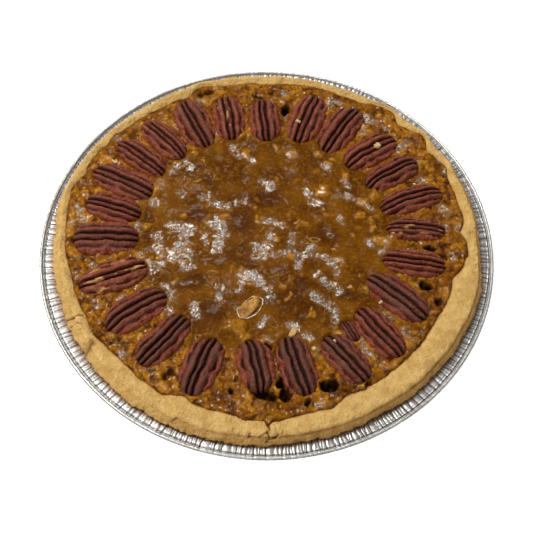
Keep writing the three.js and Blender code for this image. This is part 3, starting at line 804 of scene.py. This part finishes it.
def make_tin(material):
    """The foil plate, pleated on its wall and flange, with a groove inside its rolled bead."""
    base, mouth, height = TIN["base_radius"], TIN["mouth_radius"], TIN["flange_height"]
    groove = rim_radius - 2.6 * TIN["bead"]
    profile = tin_section(groove)
    bm, angle, row = turned_grid(len(profile), TIN["columns"])
    radius, rise = profile[row].T
    # folds says how near each place lies to a fold, for the painted shade in the folds.
    pleats, folds = pleat_rise(angle, radius, random.Random(3))
    on_flange = ease((radius - mouth + 1) / 2) * ease((rim_radius - 2.2 * TIN["bead"] - radius) / 0.8)
    on_wall = ease((radius - base) / 12) * ease((mouth + 1 - radius) / 2)
    on_bead = ease((radius - groove) / 0.6)
    # Painted shade in the groove inside the bead.
    sunk = 0.95 * bell(radius - groove + 0.1, 0.42) * (rise > height - 0.5)
    # Painted shade along the bead's outer edge.
    outline = 0.7 * ease((radius - rim_radius + 0.4) / 0.3)
    knocks = fractal(turned(radius, angle, 0 * angle), 2.0, 2, seed=5)
    sway = fractal(turned(90, angle, 0 * angle), 40, 2, seed=2)
    radius = radius + (0.7 * pleats - 0.25) * on_wall + 0.16 * knocks * on_bead
    rise = rise + pleats * on_flange + 0.3 * (pleats - 0.2) * on_bead + 0.1 * knocks * on_bead
    rise = rise + 0.25 * sway * ease((radius - mouth) / 8)
    radius = np.minimum(radius, rim_radius)
    move_points(bm, turned(radius, angle, np.maximum(rise, 0)))
    # Where the foil lies just outside the crust, for the painted reflection of the crust.
    near_crust = ease((reach_of(angle) + 2.2 + 0.5 * knocks - radius) / 1.6) * (rise > height - 0.6)
    # Painted shade towards the tin's left and right sides.
    painted_side_shade = 0.2 * np.cos(angle) ** 2
    # All of the foil's painted shade: in its folds, its groove, along its bead's outer edge and towards its
    # sides.
    painted_foil_shade = folds * (on_flange + 0.5 * on_wall + 0.3 * on_bead) + sunk + outline + painted_side_shade
    store_fields(bm, {"painted_shade": painted_foil_shade, "painted_crust_reflection": 0.8 * near_crust})
    dress(finish_piece("tin", bm, material), "foil", "foil_tin")


# The crust

steepness_of = smooth_ring(CRUST["steepness"])
foot_of = smooth_ring(CRUST["foot"])


def crust_controls(angle):
    """The crust's visible section at each angle, from its seat on the tin up and over to the filling."""
    edge, reach, crest = edge_of(angle), reach_of(angle) + foot_of(angle), crest_of(angle)
    steep = np.clip(steepness_of(angle), 0, 1)
    rise = crest - CRUST["seat"]
    radii = [
        reach - 0.9,
        reach - 0.1,
        reach + 0.1 * steep,
        lerp(reach - 2.2, reach - 0.9, steep),
        lerp(reach - 4.4, reach - 2.1, steep),
        lerp(edge, reach, lerp(0.5, 0.66, steep)),
        lerp(edge, reach, 0.35),
        edge,
        edge - 2.0,
    ]
    climbs = (0, 0.1, 0.3, lerp(0.52, 0.6, steep), lerp(0.8, 0.9, steep))
    heights = [CRUST["seat"] + climb * rise for climb in climbs]
    heights += [crest - lerp(0.7, 0.15, steep), crest, crest - FILLING["shore_drop"], crest - 2.8]
    return radii, heights


def crust_section(angle, row):
    """Each point's radius and height on the smooth crust, and how far over its visible face it lies."""
    edge, crest = edge_of(angle), crest_of(angle)
    radii, heights = crust_controls(angle)
    first = len(CRUST["below"])
    share = (row - first) / (CRUST["face_rows"] - 1)
    radius, rise = through(radii, share), through(heights, share)
    for i, (r, z) in enumerate(CRUST["below"]):
        radius[row == i], rise[row == i] = r, z
    first += CRUST["face_rows"]
    for i, (inward, down) in enumerate(CRUST["behind"]):
        here = row == first + i
        radius[here] = np.minimum(edge[here], CRUST["wall_radius"]) + inward
        rise[here] = crest[here] + down
    first += len(CRUST["behind"])
    for i, r in enumerate((CRUST["floor_radius"], 0)):
        radius[row == first + i], rise[row == first + i] = r, CRUST["floor_height"]
    return radius, rise, share


def make_crust_piece(material):
    """The crust: a shell under the filling, with a crumbly, cracked face outside it."""
    rows = len(CRUST["below"]) + CRUST["face_rows"] + len(CRUST["behind"]) + 2
    bm, angle, row = turned_grid(rows, CRUST["columns"])
    radius, rise, share = crust_section(angle, row)
    on_face = (share >= 0) & (share <= 1)
    place = turned(radius, angle, rise)
    steep = np.clip(steepness_of(angle), 0, 1)
    step = 0.8 * steep * bell(share - 0.45, 0.04)
    shown = on_face * ease(share * 12) * ease((1 - share) * 8)
    broad = fractal(place, 14, 2, seed=1)
    lumps = fractal(place, 4.5, 3, seed=2)
    grains = fractal(place, 1.3, 2, seed=3)
    crumbs, tags = cells(place, 2.4, seed=4)
    front_left = bell(np.degrees(angle) % 360 - 255, 30)
    crumbly = (0.3 + 0.7 * front_left) * ease((0.45 - share) / 0.3)
    pits = ease((tags - 0.86) / 0.02) * ease((0.3 - crumbs) / 0.12)
    pits = pits * (0.12 + 0.7 * front_left * (share < 0.6))
    puff = 0.7 * broad + 0.62 * lumps + 0.3 * grains
    puff = puff + crumbly * (0.5 - crumbs) * (1.2 + 1.6 * tags) - step - 0.6 * pits
    tilt = np.pi / 2 * (1 - ease((share - 0.25) / 0.4))
    radius = radius + shown * puff * np.sin(tilt)
    rise = rise + shown * puff * np.cos(tilt)
    radius = np.where(on_face & (share < 0.12), radius + 0.6 * lumps + 0.3 * grains - 0.2, radius)

    x, y = radius * np.cos(angle), radius * np.sin(angle)
    # How deep in a crack each place lies, for the painted shade in the cracks.
    painted_crack_shade = np.zeros(len(x))
    for corners, width, depth in CRACKS:
        far = near_line(x + 0.9 * lumps, y + 0.5 * grains, corners)
        cut = bell(far, width) * shown
        painted_crack_shade = np.maximum(painted_crack_shade, cut * min(1, depth))
        rise = rise - depth * cut
        radius = radius - 0.35 * depth * cut * (share < 0.5)
    rise = np.clip(rise, None, crust_top + 0.3)
    move_points(bm, turned(radius, angle, rise))
    # The crust's foot is browner where it toasted, and also where painted shade falls against the foil; the
    # rest is painted shade: along the step, on the side below it, between crumbs and in the low places
    # between lumps.
    toast_and_painted_shade = on_face * (
        0.25 * ease((0.06 - share) / 0.06)
        + 0.4 * steep * bell(share - 0.45, 0.035)
        + 0.35 * crumbly * ease((crumbs - 0.45) / 0.3)
        + 0.2 * ease(0.3 - lumps * 1.6)
        + 0.55 * steep * ease((0.48 - share) / 0.04)
    )
    syrup = ease((share - 0.855) / 0.04) + (place[:, 2] < CRUST["seat"] - 1)
    store_fields(bm, {"toast_and_painted_shade": toast_and_painted_shade, "painted_crack_shade": np.maximum(painted_crack_shade, 0.75 * pits * on_face), "syrup": syrup})
    dress(finish_piece("shortcrust", bm, material), "crust", "crust")


# The filling


def round_disc(steps):
    """A square grid drawn into a round disc of radius one, with faces of about one size all over."""
    bm = bmesh.new()
    bmesh.ops.create_grid(bm, x_segments=steps, y_segments=steps, size=1)
    flat = read_points(bm)
    x, y = flat[:, 0], flat[:, 1]
    radius = np.maximum(abs(x), abs(y))
    steep = abs(x) < abs(y)
    low, high = np.where(steep, x, y), np.where(steep, y, x)
    lean = np.pi / 4 * np.divide(low, high, out=np.zeros_like(low), where=high != 0)
    turned = np.where(high < 0, -radius, radius)
    flat[:, 0] = turned * np.where(steep, np.sin(lean), np.cos(lean))
    flat[:, 1] = turned * np.where(steep, np.cos(lean), np.sin(lean))
    return bm, flat


def scatter(draw, count, inner, outer, gap):
    """Places strewn over a ring, no two closer than gap."""
    places = []
    for _ in range(count * 30):
        if len(places) == count:
            break
        turn = draw.uniform(0, math.tau)
        radius = math.sqrt(draw.uniform(inner * inner, outer * outer))
        x, y = radius * math.cos(turn), radius * math.sin(turn)
        if all((x - a) ** 2 + (y - b) ** 2 > gap * gap for a, b in places):
            places.append((x, y))
    return places


def oval(x, y, cx, cy, along, across, turn):
    """How far out each place is in an oval: 0 in its middle, 1 on its outline."""
    dx, dy = x - cx, y - cy
    a = (dx * math.cos(turn) + dy * math.sin(turn)) / along
    b = (dy * math.cos(turn) - dx * math.sin(turn)) / across
    return np.hypot(a, b)


def dome(out):
    """A rounded mound, 1 in its middle and 0 from its outline on."""
    return np.clip(1 - out * out, 0, 1) ** 1.5


def filling_base(x, y):
    """The filling's smooth top, as its solid has it."""
    angle = np.arctan2(y, x)
    share = np.clip(np.hypot(x, y) / edge_of(angle), 0, 1)
    swell = np.sin(x / 13 + 1.2) * np.cos(y / 11) + np.sin((x - y) / 19)
    middle = FILLING["level"] - FILLING["shore_drop"] + FILLING["dome"]
    top = lerp(middle, crest_of(angle) - FILLING["shore_drop"], share**3)
    return top + FILLING["swell"] * swell * (1 - share**6)


def film_field(x, y, jag_x, jag_y):
    """Where the dried film, which carries painted sheen and highlights, lies, from 0 to 1, with jagged
    edges.
    """
    film_and_painted_sheen = np.zeros(len(x))
    for width, strength, *line in FILMS:
        corners = list(zip(line[::2], line[1::2]))
        far = near_line(x + 1.5 * jag_x, y + 1.5 * jag_y, corners)
        film_and_painted_sheen = np.maximum(film_and_painted_sheen, strength * ease((1.2 * width + 1.6 - far) / (0.6 * width + 1.8)))
    return film_and_painted_sheen * ease((fractal(np.c_[x, y, 0 * x], 3.4, 3, seed=11) + 0.6) / 0.45)


def strewn(draw, x, y, mounds):
    """Strewn mounds, one by one: its shape and its rise at each place, and how golden it is."""
    for cx, cy in scatter(draw, mounds["count"], *mounds["ring"], mounds["gap"]):
        size, stretch = draw.uniform(*mounds["size"]), draw.uniform(1, 1.6)
        bulge = dome(oval(x, y, cx, cy, size * stretch, size, draw.uniform(0, math.pi)))
        rise = bulge * draw.uniform(*mounds["rise"]) * size ** mounds["growth"]
        yield bulge, rise, draw.choice(mounds["golden"])


def filling_surface(x, y):
    """The height of the filling's top at each place, and its fields."""
    draw = random.Random(21)
    flat = np.c_[x, y, 0 * x]
    angle, radius = np.arctan2(y, x), np.hypot(x, y)
    edge = edge_of(angle)
    drift_x, drift_y = fractal(flat, 9, 2, seed=6), fractal(flat, 9, 2, seed=7)
    bx, by = x + 3 * drift_x, y + 3 * drift_y
    bent = np.c_[bx, by, 0 * x]
    bubbly = ease((radius + 6 * drift_x - 64) / 12)
    fine = fractal(bent, 2.3, 3, seed=10)
    rolls = fractal(bent, 8, 3, seed=9)
    jag_x, jag_y = fractal(flat, 3.2, 2, seed=14), fractal(flat, 3.2, 2, seed=15)
    jx, jy = bx + 1.1 * jag_x, by + 1.1 * jag_y
    gold, painted_hollow_shade = np.zeros(len(x)), np.zeros(len(x))
    film_and_painted_sheen = film_field(x, y, jag_x, jag_y)

    # The syrup's skin
    base = filling_base(x, y)
    height = base + 0.6 * fractal(bent, 21, 2, seed=8) + (0.2 - 0.1 * film_and_painted_sheen + 0.2 * bubbly) * rolls
    height += (0.012 + 0.1 * film_and_painted_sheen + 0.09 * bubbly) * fine
    threads = bell(fractal(bent, 13, 2, seed=12), 0.02) * ease(fractal(flat, 22, 1, seed=13) * 3)
    height += 0.3 * threads * (1 - bubbly)

    # Lumps of nut and bubbles under the skin
    for bulge, rise, golden in strewn(draw, jx, jy, SYRUP_MOUNDS):
        height += rise
        gold = np.maximum(gold, ease(1.3 * bulge) * golden)
    for cx, cy, size, lift, golden in LUMPS:
        cx, cy = cx + 3 * noise_shift(cx, cy, 6), cy + 3 * noise_shift(cx, cy, 7)
        bulge = dome(oval(jx, jy, cx, cy, size, size, 0))
        height += lift * bulge**0.7
        gold = np.maximum(gold, golden * ease(bulge * (1.3 + fine)))
    for bulge, rise, golden in strewn(draw, bx, by, FROTH_MOUNDS):
        height += rise
        gold = np.maximum(gold, bulge * golden)

    # Froth near the crust, and low, dark places: painted shade in the hollows, and deep, clear syrup
    near, tags = cells(bent, 3.1, seed=12)
    height += bubbly * (0.26 * np.clip(1 - (near / 0.6) ** 2, 0, 1) ** 0.8 - 0.12)
    # Painted shade in the hollows below the skin's mean height.
    low = (0.35 + 0.5 * bubbly) * ease((0.1 - (height - base)) / 0.7)
    for cx, cy, along, across in DEEPS:
        low = np.maximum(low, 0.9 * ease((1.25 - oval(bx, by, cx, cy, along, across, 0)) / 0.8))
    low = np.maximum(low, bubbly * ease((fractal(flat, 5, 3, seed=16) - 0.12) / 0.2))
    burst = bubbly * ease((tags - 0.9) / 0.02) * ease((0.4 - near) / 0.15)
    height -= 1.2 * burst
    # Painted shade in the burst bubbles.
    painted_hollow_shade = np.maximum(painted_hollow_shade, 0.7 * burst)
    foam = bubbly * ease(0.75 + 0.5 * fine)

    # Holes, with painted shade in them
    sway_x, sway_y = 0.9 * drift_x + 0.8 * fine + 0.6 * rolls, 0.9 * drift_y - 0.8 * fine
    for cx, cy, along, across, depth, turn in HOLES:
        out = oval(x + sway_x, y + sway_y, cx, cy, along / 2, across / 2, math.radians(turn))
        inside = ease((1.2 - out) / 0.6)
        height += 0.9 * bell(out - 1.45, 0.3) * (0.6 + fine) - depth * inside * (1 + 0.3 * fine)
        dark = ease((1.4 - out) / 0.5) * min(1, depth / 3.2) * (0.95 + 0.4 * fine)
        painted_hollow_shade = np.maximum(painted_hollow_shade, np.clip(dark, 0, 1))
    ring = oval(x, y, *BUBBLE["middle"], *BUBBLE["reach"], math.radians(BUBBLE["turn"]))
    height -= 0.5 * ease((1 - ring) / 0.3)

    # The halves' beds, and the shore along the crust, with painted shade round the halves and along the
    # shore
    for half in halves + [chip]:
        out = half.reach(x, y)
        gap = (out - 1) * half.width / 2
        height -= 5.2 * ease((0.6 - gap) / 1.8) - 0.25 * bell(gap - 1.6, 1)
        painted_hollow_shade = np.maximum(painted_hollow_shade, 0.8 * ease((0.4 - gap) / 0.9))
        film_and_painted_sheen = film_and_painted_sheen * ease((gap + 0.5) / 2)
    shore = edge - radius
    rounding = np.clip(shore / 1.8, 0, 1)
    height += 0.9 - 1.6 * (1 - np.sqrt(1 - (1 - rounding) ** 2))
    painted_hollow_shade = np.maximum(painted_hollow_shade, 0.12 * ease((1.2 - shore) / 1.2))
    film_and_painted_sheen = film_and_painted_sheen + 0.4 * threads * (1 - bubbly)
    return height, {"gold": gold, "foam": foam, "painted_hollow_shade": painted_hollow_shade, "low": low, "film_and_painted_sheen": film_and_painted_sheen}


def noise_shift(x, y, seed):
    """The same sideways drift that the filling's surface has at one place."""
    return float(fractal([(x, y, 0)], 9, 2, seed=seed)[0])


def made(result, kind):
    """What an extrusion made of one kind, edges or corners."""
    return [item for item in result["geom"] if isinstance(item, kind)]


def make_filling_piece(material):
    """The filling, solid down to the crust's floor."""
    bm, flat = round_disc(FILLING["grid"])
    angle = np.arctan2(flat[:, 1], flat[:, 0])
    share = np.hypot(flat[:, 0], flat[:, 1])
    ragged = fractal(turned(105, angle, 0 * angle), 4.5, 3, seed=13)
    shift = ragged * share**12
    radius = share * edge_of(angle) + shift
    x, y = radius * np.cos(angle), radius * np.sin(angle)
    height, fields = filling_surface(x - shift * np.cos(angle), y - shift * np.sin(angle))
    move_points(bm, np.c_[x, y, height])
    store_fields(bm, fields)
    rim = [edge for edge in bm.edges if edge.is_boundary]
    for inward, down in FILLING["skirt"]:
        step = bmesh.ops.extrude_edge_only(bm, edges=rim)
        rim = made(step, bmesh.types.BMEdge)
        for vert in made(step, bmesh.types.BMVert):
            turn = math.atan2(vert.co.y, vert.co.x)
            reach = (min(float(edge_of(turn)), CRUST["wall_radius"]) + inward) * MM
            vert.co = (reach * math.cos(turn), reach * math.sin(turn), (FILLING["level"] + down) * MM)
    step = bmesh.ops.extrude_edge_only(bm, edges=rim)
    foot = FILLING["foot_radius"] * MM
    for vert in made(step, bmesh.types.BMVert):
        turn = math.atan2(vert.co.y, vert.co.x)
        vert.co = (foot * math.cos(turn), foot * math.sin(turn), FILLING["foot"] * MM)
    bmesh.ops.contextual_create(bm, geom=made(step, bmesh.types.BMEdge))
    dress(finish_piece("syrup_filling", bm, material), "filling", "filling")


# The pecans

# How dusky each half's skin is, from 0, red-brown, to 1, grey-brown.
DUSK = [0.35, 0.3, 0.45, 0.15, 0.35, 0.2, 0.35, 0.2, 0.5, 0.2, 0.25, 0.45]
DUSK += [0.35, 0.5, 0.1, 0.5, 0.75, 0.8, 0.75, 0.85, 0.75, 0.4, 0.7, 0.15]

# How much caramel smears a half, by its number.
SMEAR = {1: 0.5, 2: 0.3, 5: 0.25, 8: 0.45, 13: 0.2, 15: 1.0, 18: 0.3}

# The form of a half, in shares of its width, length and height: "over" is the share of its columns on
# its back, and the pairs are the least and the most that a half may have.
HALF = {
    "columns": 96,
    "rings": 56,
    "over": 0.8,
    "belly": 0.35,
    "wide": 1.15,
    "long": 1.05,
    "tip": 0.94,
    "strip_off": (-0.1, 0.1),
    "strip": (0.15, 0.21),
    "strip_deep": (0.42, 0.55),
    "furrow": (0.56, 0.66),
    "furrow_deep": (0.03, 0.55),
    "bend": (-0.0035, 0.0035),
}
CHIP = {"dusk": 0.6, "smear": 0.2, "columns": 48, "rings": 30}

# The halves' and the chip's first random draws.
HALF_SEED, CHIP_SEED = 100, 77


def half_section(column_share):
    """Where each column of a half's ball goes: across, from 1 to -1, and up, from -1 to 1."""
    over = column_share < HALF["over"]
    u = 1 - 2 * column_share / HALF["over"]
    under = math.pi * np.clip((column_share - HALF["over"]) / (1 - HALF["over"]), 0, 1)
    across = np.where(over, 0.65 * u + 0.35 * np.sin(u * math.pi / 2), -np.cos(under))
    up = np.where(over, np.sqrt(np.clip(1 - across**2, 0, 1)), -np.sin(under))
    return across, up


def half_grooves(along, across, fullness, draw, seed):
    """A half's middle strip, its furrows and the lobes between them, at each point of its back."""
    none = 0 * along
    side = np.where(across > 0, 1.0, -1.0)
    wander = fractal(np.c_[along * 1.3, none, none], 1, 2, seed=seed)
    lobe_wander = fractal(np.c_[along * 2.0, side * 3, none], 1, 2, seed=seed + 1)
    off = 0.08 * wander + draw.uniform(*HALF["strip_off"])
    brink = fullness**0.8
    middle = np.abs((across - off) / (1 - side * off)) * brink
    strip = draw.uniform(*HALF["strip"]) * (1 + 0.3 * lobe_wander)
    furrow = draw.uniform(*HALF["furrow"]) + 0.08 * lobe_wander
    strip_deep = draw.uniform(*HALF["strip_deep"]) * (1 - 0.3 * abs(along) ** 3)
    furrow_deep = np.clip(0.26 + 0.42 * lobe_wander, *HALF["furrow_deep"]) * ease((1 - abs(along)) / 0.2)
    in_lobe = np.clip((middle - strip) / np.maximum(np.minimum(furrow, brink) - strip, 0.02), 0, 1)
    in_flank = np.clip((middle - furrow) / np.maximum(brink - furrow, 0.05), 0, 1)
    in_strip = strip_deep * (middle / strip) ** 2.6 + 0.12 * (1 - (middle / strip) ** 2)
    of_lobe = lerp(strip_deep, furrow_deep, in_lobe) * abs(2 * in_lobe - 1) ** 2.4
    of_flank = furrow_deep * (1 - in_flank) ** 3
    sunk = np.where(middle < strip, in_strip, np.where(middle < furrow, of_lobe, of_flank))
    return middle, strip, furrow, furrow_deep, in_lobe, in_flank, sunk, side, lobe_wander


def make_half(half, material, draw, dusk, smear, columns=HALF["columns"], rings=HALF["rings"]):
    """A pecan half: a strip between two deep grooves, and on either side two cord-like lobes."""
    bm = bmesh.new()
    bmesh.ops.create_uvsphere(bm, u_segments=columns, v_segments=rings, radius=1)
    ball = read_points(bm)
    along = ball[:, 2]
    none = 0 * along
    at_tip = abs(along) > 0.99999
    turn = np.arctan2(ball[:, 1], ball[:, 0]) / math.tau % 1
    across, up = half_section(np.where(turn > 1 - 1e-6, 0, turn))
    fullness = np.sqrt(np.clip(1 - np.minimum(abs(along), 1) ** 3.4, 0, 1))
    seed = draw.randrange(1000)
    grooves = half_grooves(along, across, fullness, draw, seed)
    middle, strip, furrow, furrow_deep, in_lobe, in_flank, sunk, side, lobe_wander = grooves

    # The shape
    lumps = fractal(np.c_[along * 4.0, across * 2.2 + side, none], 1, 3, seed=seed + 2)
    creases = fractal(np.c_[along * 11, across * 3.0, none], 1, 3, seed=seed + 3)
    ripples = fractal(np.c_[along * 3, across * 14, none], 1, 2, seed=seed + 4)
    flank = ease((middle - 0.5) / 0.2)
    back = np.abs(up) ** 0.62 * (1.06 - sunk)
    back += (0.06 * lumps + (0.05 + 0.08 * flank) * creases + 0.02 * ripples) * np.abs(up) ** 0.5
    belly = -HALF["belly"] * half.height * np.abs(up) ** 0.5
    roof = np.where(up > 0, back * half.height, belly)
    split = bell(middle - strip, 0.07) + 0.5 * bell(middle - furrow, 0.06)
    lobe = np.where(middle < strip, 0, np.where(middle < furrow, 3, 7))
    finger = fractal(np.c_[side * 5, lobe, np.sign(along)], 1, 1, seed=seed + 6)
    reach = HALF["long"] - 0.14 * split + 0.1 * finger
    width = (half.width / 2) * (HALF["wide"] + 0.05 * lumps + 0.06 * flank * creases + 0.06 * lobe_wander)
    points = np.c_[
        np.where(at_tip, np.sign(along) * HALF["tip"], along * reach) * half.length / 2,
        np.where(at_tip, 0, across * fullness * width),
        np.where(at_tip, 0, roof * lerp(0.3, 1, fullness)),
    ]
    bend = draw.uniform(*HALF["bend"])
    points[:, 1] += bend * points[:, 0] ** 2 - bend * half.length**2 / 12
    lay = Euler((0, -half.rise, math.atan2(half.axis[1], half.axis[0]))).to_matrix()
    placed = np.array([lay @ Vector(point) for point in points]) + np.array([half.x, half.y, half.z])
    move_points(bm, placed)

    # The colours, with painted highlights on the lobes' ridges and painted shade in the grooves and
    # underneath
    # Painted shade in the grooves, and below the half's sides.
    groove = bell(middle - strip, 0.09) + 2.2 * furrow_deep * bell(middle - furrow, 0.07)
    # Where the lobes' ridges lie, for the painted highlight.
    crest = np.where(middle < furrow, 1 - abs(2 * in_lobe - 1) ** 1.5, 0.7 * ease(in_flank / 0.4))
    dots, tags = cells(points * [1, 1, 0], 2.3, seed=seed % 50)
    sticky = bell(middle - furrow, 0.09) + ease((middle - 0.9) / 0.06) + ease((strip - middle) / 0.05)
    streaks = fractal(np.c_[along * 2.6, across * 3, none], 1, 2, seed=seed + 5)
    caramel = sticky * ease((streaks - 0.55 + 0.5 * smear) / 0.12) * (smear > 0.4)
    caramel = caramel + ease((0.2 - dots) / 0.06) * (tags > 1 - 0.12 * smear)
    top = ease((up - 0.3) / 0.3)
    fields = {
        "groove": groove * ease(up / 0.2) + 0.75 * ease((0.3 - up) / 0.3),
        "streak": 0.6 * ease(0.5 + ripples + 0.5 * creases * flank),
        "dusk": dusk * top * ease(0.85 + lumps - 0.8 * flank),
        "crest": crest * (middle > strip) * ease(0.7 + lumps + 0.6 * creases),
        "smear": 0.85 * caramel * ease((0.97 - abs(along)) / 0.1) * top,
    }
    store_fields(bm, fields)
    piece = finish_piece(half.node.replace("pecan", "half"), bm, material)
    dress(piece, "pecan", half.node)


def make_nut_bits(material):
    """The chopped nuts that stand out of the skin, joined into one piece."""
    whole = bmesh.new()
    pale = whole.verts.layers.float.new("pale")
    for number, (x, y, long, wide, high, turn, lift, paleness) in enumerate(NUT_BITS):
        before = len(whole.verts)
        bmesh.ops.create_icosphere(whole, subdivisions=4, radius=1)
        whole.verts.ensure_lookup_table()
        mine = [whole.verts[i] for i in range(before, len(whole.verts))]
        ball = np.array([vert.co[:] for vert in mine])
        chopped = np.sign(ball) * abs(ball) ** 0.75
        lumps = fractal(ball, 0.8, 3, seed=30 + number)
        chopped = chopped * (1 + 0.4 * lumps)[:, None] * np.array([long, wide, high]) / 2
        lay = Euler((0.2, 0.1, math.radians(turn))).to_matrix()
        base = float(filling_base(np.array([x]), np.array([y]))[0])
        middle = np.array([x, y, base + lift])
        for vert, point, lump in zip(mine, chopped, lumps):
            vert.co = Vector((np.array(lay @ Vector(point)) + middle) * MM)
            vert[pale] = min(1, max(0, paleness * (1 + 0.6 * lump)))
    dress(finish_piece("nut_bits", whole, material), "pecan")


# The ring is spun this wide, and then bent to the bubble's size.
RING_RADIUS = 100


def make_bubble_rim(material):
    """The thin sugary rim of the burst bubble: a fine ring bent into an oval that follows the filling."""
    bm = bmesh.new()
    for vert in bmesh.ops.create_circle(bm, segments=8, radius=1)["verts"]:
        vert.co = (RING_RADIUS + vert.co.x, 0, vert.co.y)
    full_turn = {"cent": (0, 0, 0), "axis": (0, 0, 1), "angle": math.tau, "steps": 64, "use_merge": True}
    bmesh.ops.spin(bm, geom=bm.verts[:] + bm.edges[:], **full_turn)
    bmesh.ops.remove_doubles(bm, verts=bm.verts, dist=1e-4)
    ring = read_points(bm)
    angle, out = np.arctan2(ring[:, 1], ring[:, 0]), np.hypot(ring[:, 0], ring[:, 1]) - RING_RADIUS
    wobble = fractal(np.c_[np.cos(angle), np.sin(angle), 0 * angle], 0.7, 2, seed=41)
    size = BUBBLE["thick"] * np.clip(0.9 + 0.9 * wobble, 0.5, 1.5)
    across = 1 + 0.12 * wobble
    a = (BUBBLE["reach"][0] * across + size * out) * np.cos(angle)
    b = (BUBBLE["reach"][1] * across + size * out) * np.sin(angle)
    turn = math.radians(BUBBLE["turn"])
    x = BUBBLE["middle"][0] + a * math.cos(turn) - b * math.sin(turn)
    y = BUBBLE["middle"][1] + a * math.sin(turn) + b * math.cos(turn)
    height = filling_surface(x, y)[0]
    move_points(bm, np.c_[x, y, height + 0.2 + 0.4 * wobble + size * ring[:, 2]])
    dress(finish_piece("bubble_rim", bm, material), "filling")


# Light, camera and floor

# The floor's reach to each side, and how brightly it glows, so that it shows as plain white.
FLOOR_SIZE = 9000
GLOW = 0.75

# The lamps, in metres and watts: place, size, power and tint. All of them face the pie.
LAMPS = {
    "glint": ((-0.07, 0.78, 1.22), (0.16, 0.13), 3.4, (1, 0.97, 0.9)),
    "veil": ((-0.12, 0.77, 1.22), (0.36, 0.28), 0.5, (1, 1, 1)),
    "left": ((-0.8, 0.3, 1.45), (0.7, 0.7), 20.5, (1, 1, 1)),
    "front": ((-0.6, -1.3, 1.3), (0.8, 0.7), 3.2, (1, 1, 1)),
    "right": ((0.9, 0.9, 1.2), (0.12, 0.7), 0.4, (1, 1, 1)),
}
LIT = Vector((0, 0, 0.03))

# The studio's brightness, from the horizon, 0, to overhead, 1.
HORIZON, OVERHEAD = (0.55, 0.55, 0.55, 1), (0.5, 0.5, 0.51, 1)
BETWEEN = {0.35: 0.36, 0.72: 0.26, 0.92: 0.28}


def make_floor():
    material = bpy.data.materials.new("pale floor")
    material.use_nodes = True
    glow = {"Emission Color": (1, 1, 1, 1), "Emission Strength": GLOW}
    finish = {"Base Color": (0.9, 0.9, 0.9, 1), "Roughness": 0.7} | glow
    feed(material.node_tree.nodes["Principled BSDF"], finish)
    bm = bmesh.new()
    bmesh.ops.create_grid(bm, x_segments=1, y_segments=1, size=FLOOR_SIZE)
    move_points(bm, read_points(bm))
    finish_piece("floor", bm, material)


def make_lamp(name, place, size, power, tint):
    light = bpy.data.lights.new(name, "AREA")
    light.shape = "RECTANGLE"
    light.size, light.size_y = size
    light.energy = power
    light.color = tint
    lamp = bpy.data.objects.new(name, light)
    lamp.location = place
    lamp.rotation_euler = (LIT - Vector(place)).to_track_quat("-Z", "Y").to_euler()
    bpy.context.collection.objects.link(lamp)


def make_world():
    world = bpy.data.worlds.new("studio")
    world.use_nodes = True
    tree = world.node_tree
    place = add(tree, "TexCoord").outputs["Generated"]
    ramp = add(tree, "ValToRGB", {0: add(tree, "SeparateXYZ", {0: place}).outputs[2]})
    stops = ramp.color_ramp.elements
    stops[0].color, stops[1].color = HORIZON, OVERHEAD
    for height, grey in BETWEEN.items():
        stops.new(height).color = (grey, grey, grey * 1.02, 1)
    feed(tree.nodes["Background"], {"Color": ramp.outputs[0]})
    bpy.context.scene.world = world


def make_camera():
    data = bpy.data.cameras.new("camera")
    data.lens = CAMERA["lens"]
    data.clip_start, data.clip_end = 0.05, 20
    camera = bpy.data.objects.new("camera", data)
    lift = math.radians(CAMERA["elevation"])
    aim = Vector(CAMERA["aim"]) * MM
    place = Vector((0, -math.cos(lift), math.sin(lift))) * CAMERA["distance"] * MM
    place.z += CAMERA["aim"][2] * MM
    camera.location = place
    facing = (aim - place).to_track_quat("-Z", "Y").to_matrix()
    camera.rotation_euler = (facing @ Euler((0, 0, math.radians(CAMERA["roll"]))).to_matrix()).to_euler()
    bpy.context.collection.objects.link(camera)
    bpy.context.scene.camera = camera


make_tin(make_foil())
make_crust_piece(make_crust())
make_filling_piece(make_filling())
pecan_finish = make_pecan()
for number, (half, dusk) in enumerate(zip(halves, DUSK)):
    make_half(half, pecan_finish, random.Random(HALF_SEED + number), dusk, SMEAR.get(number + 1, 0))
make_half(chip, pecan_finish, random.Random(CHIP_SEED), **CHIP)
make_nut_bits(make_nut())
make_bubble_rim(make_sugar())

make_floor()
make_world()
for name, lamp in LAMPS.items():
    make_lamp(name, *lamp)
make_camera()
bpy.context.scene.view_settings.view_transform = "Standard"
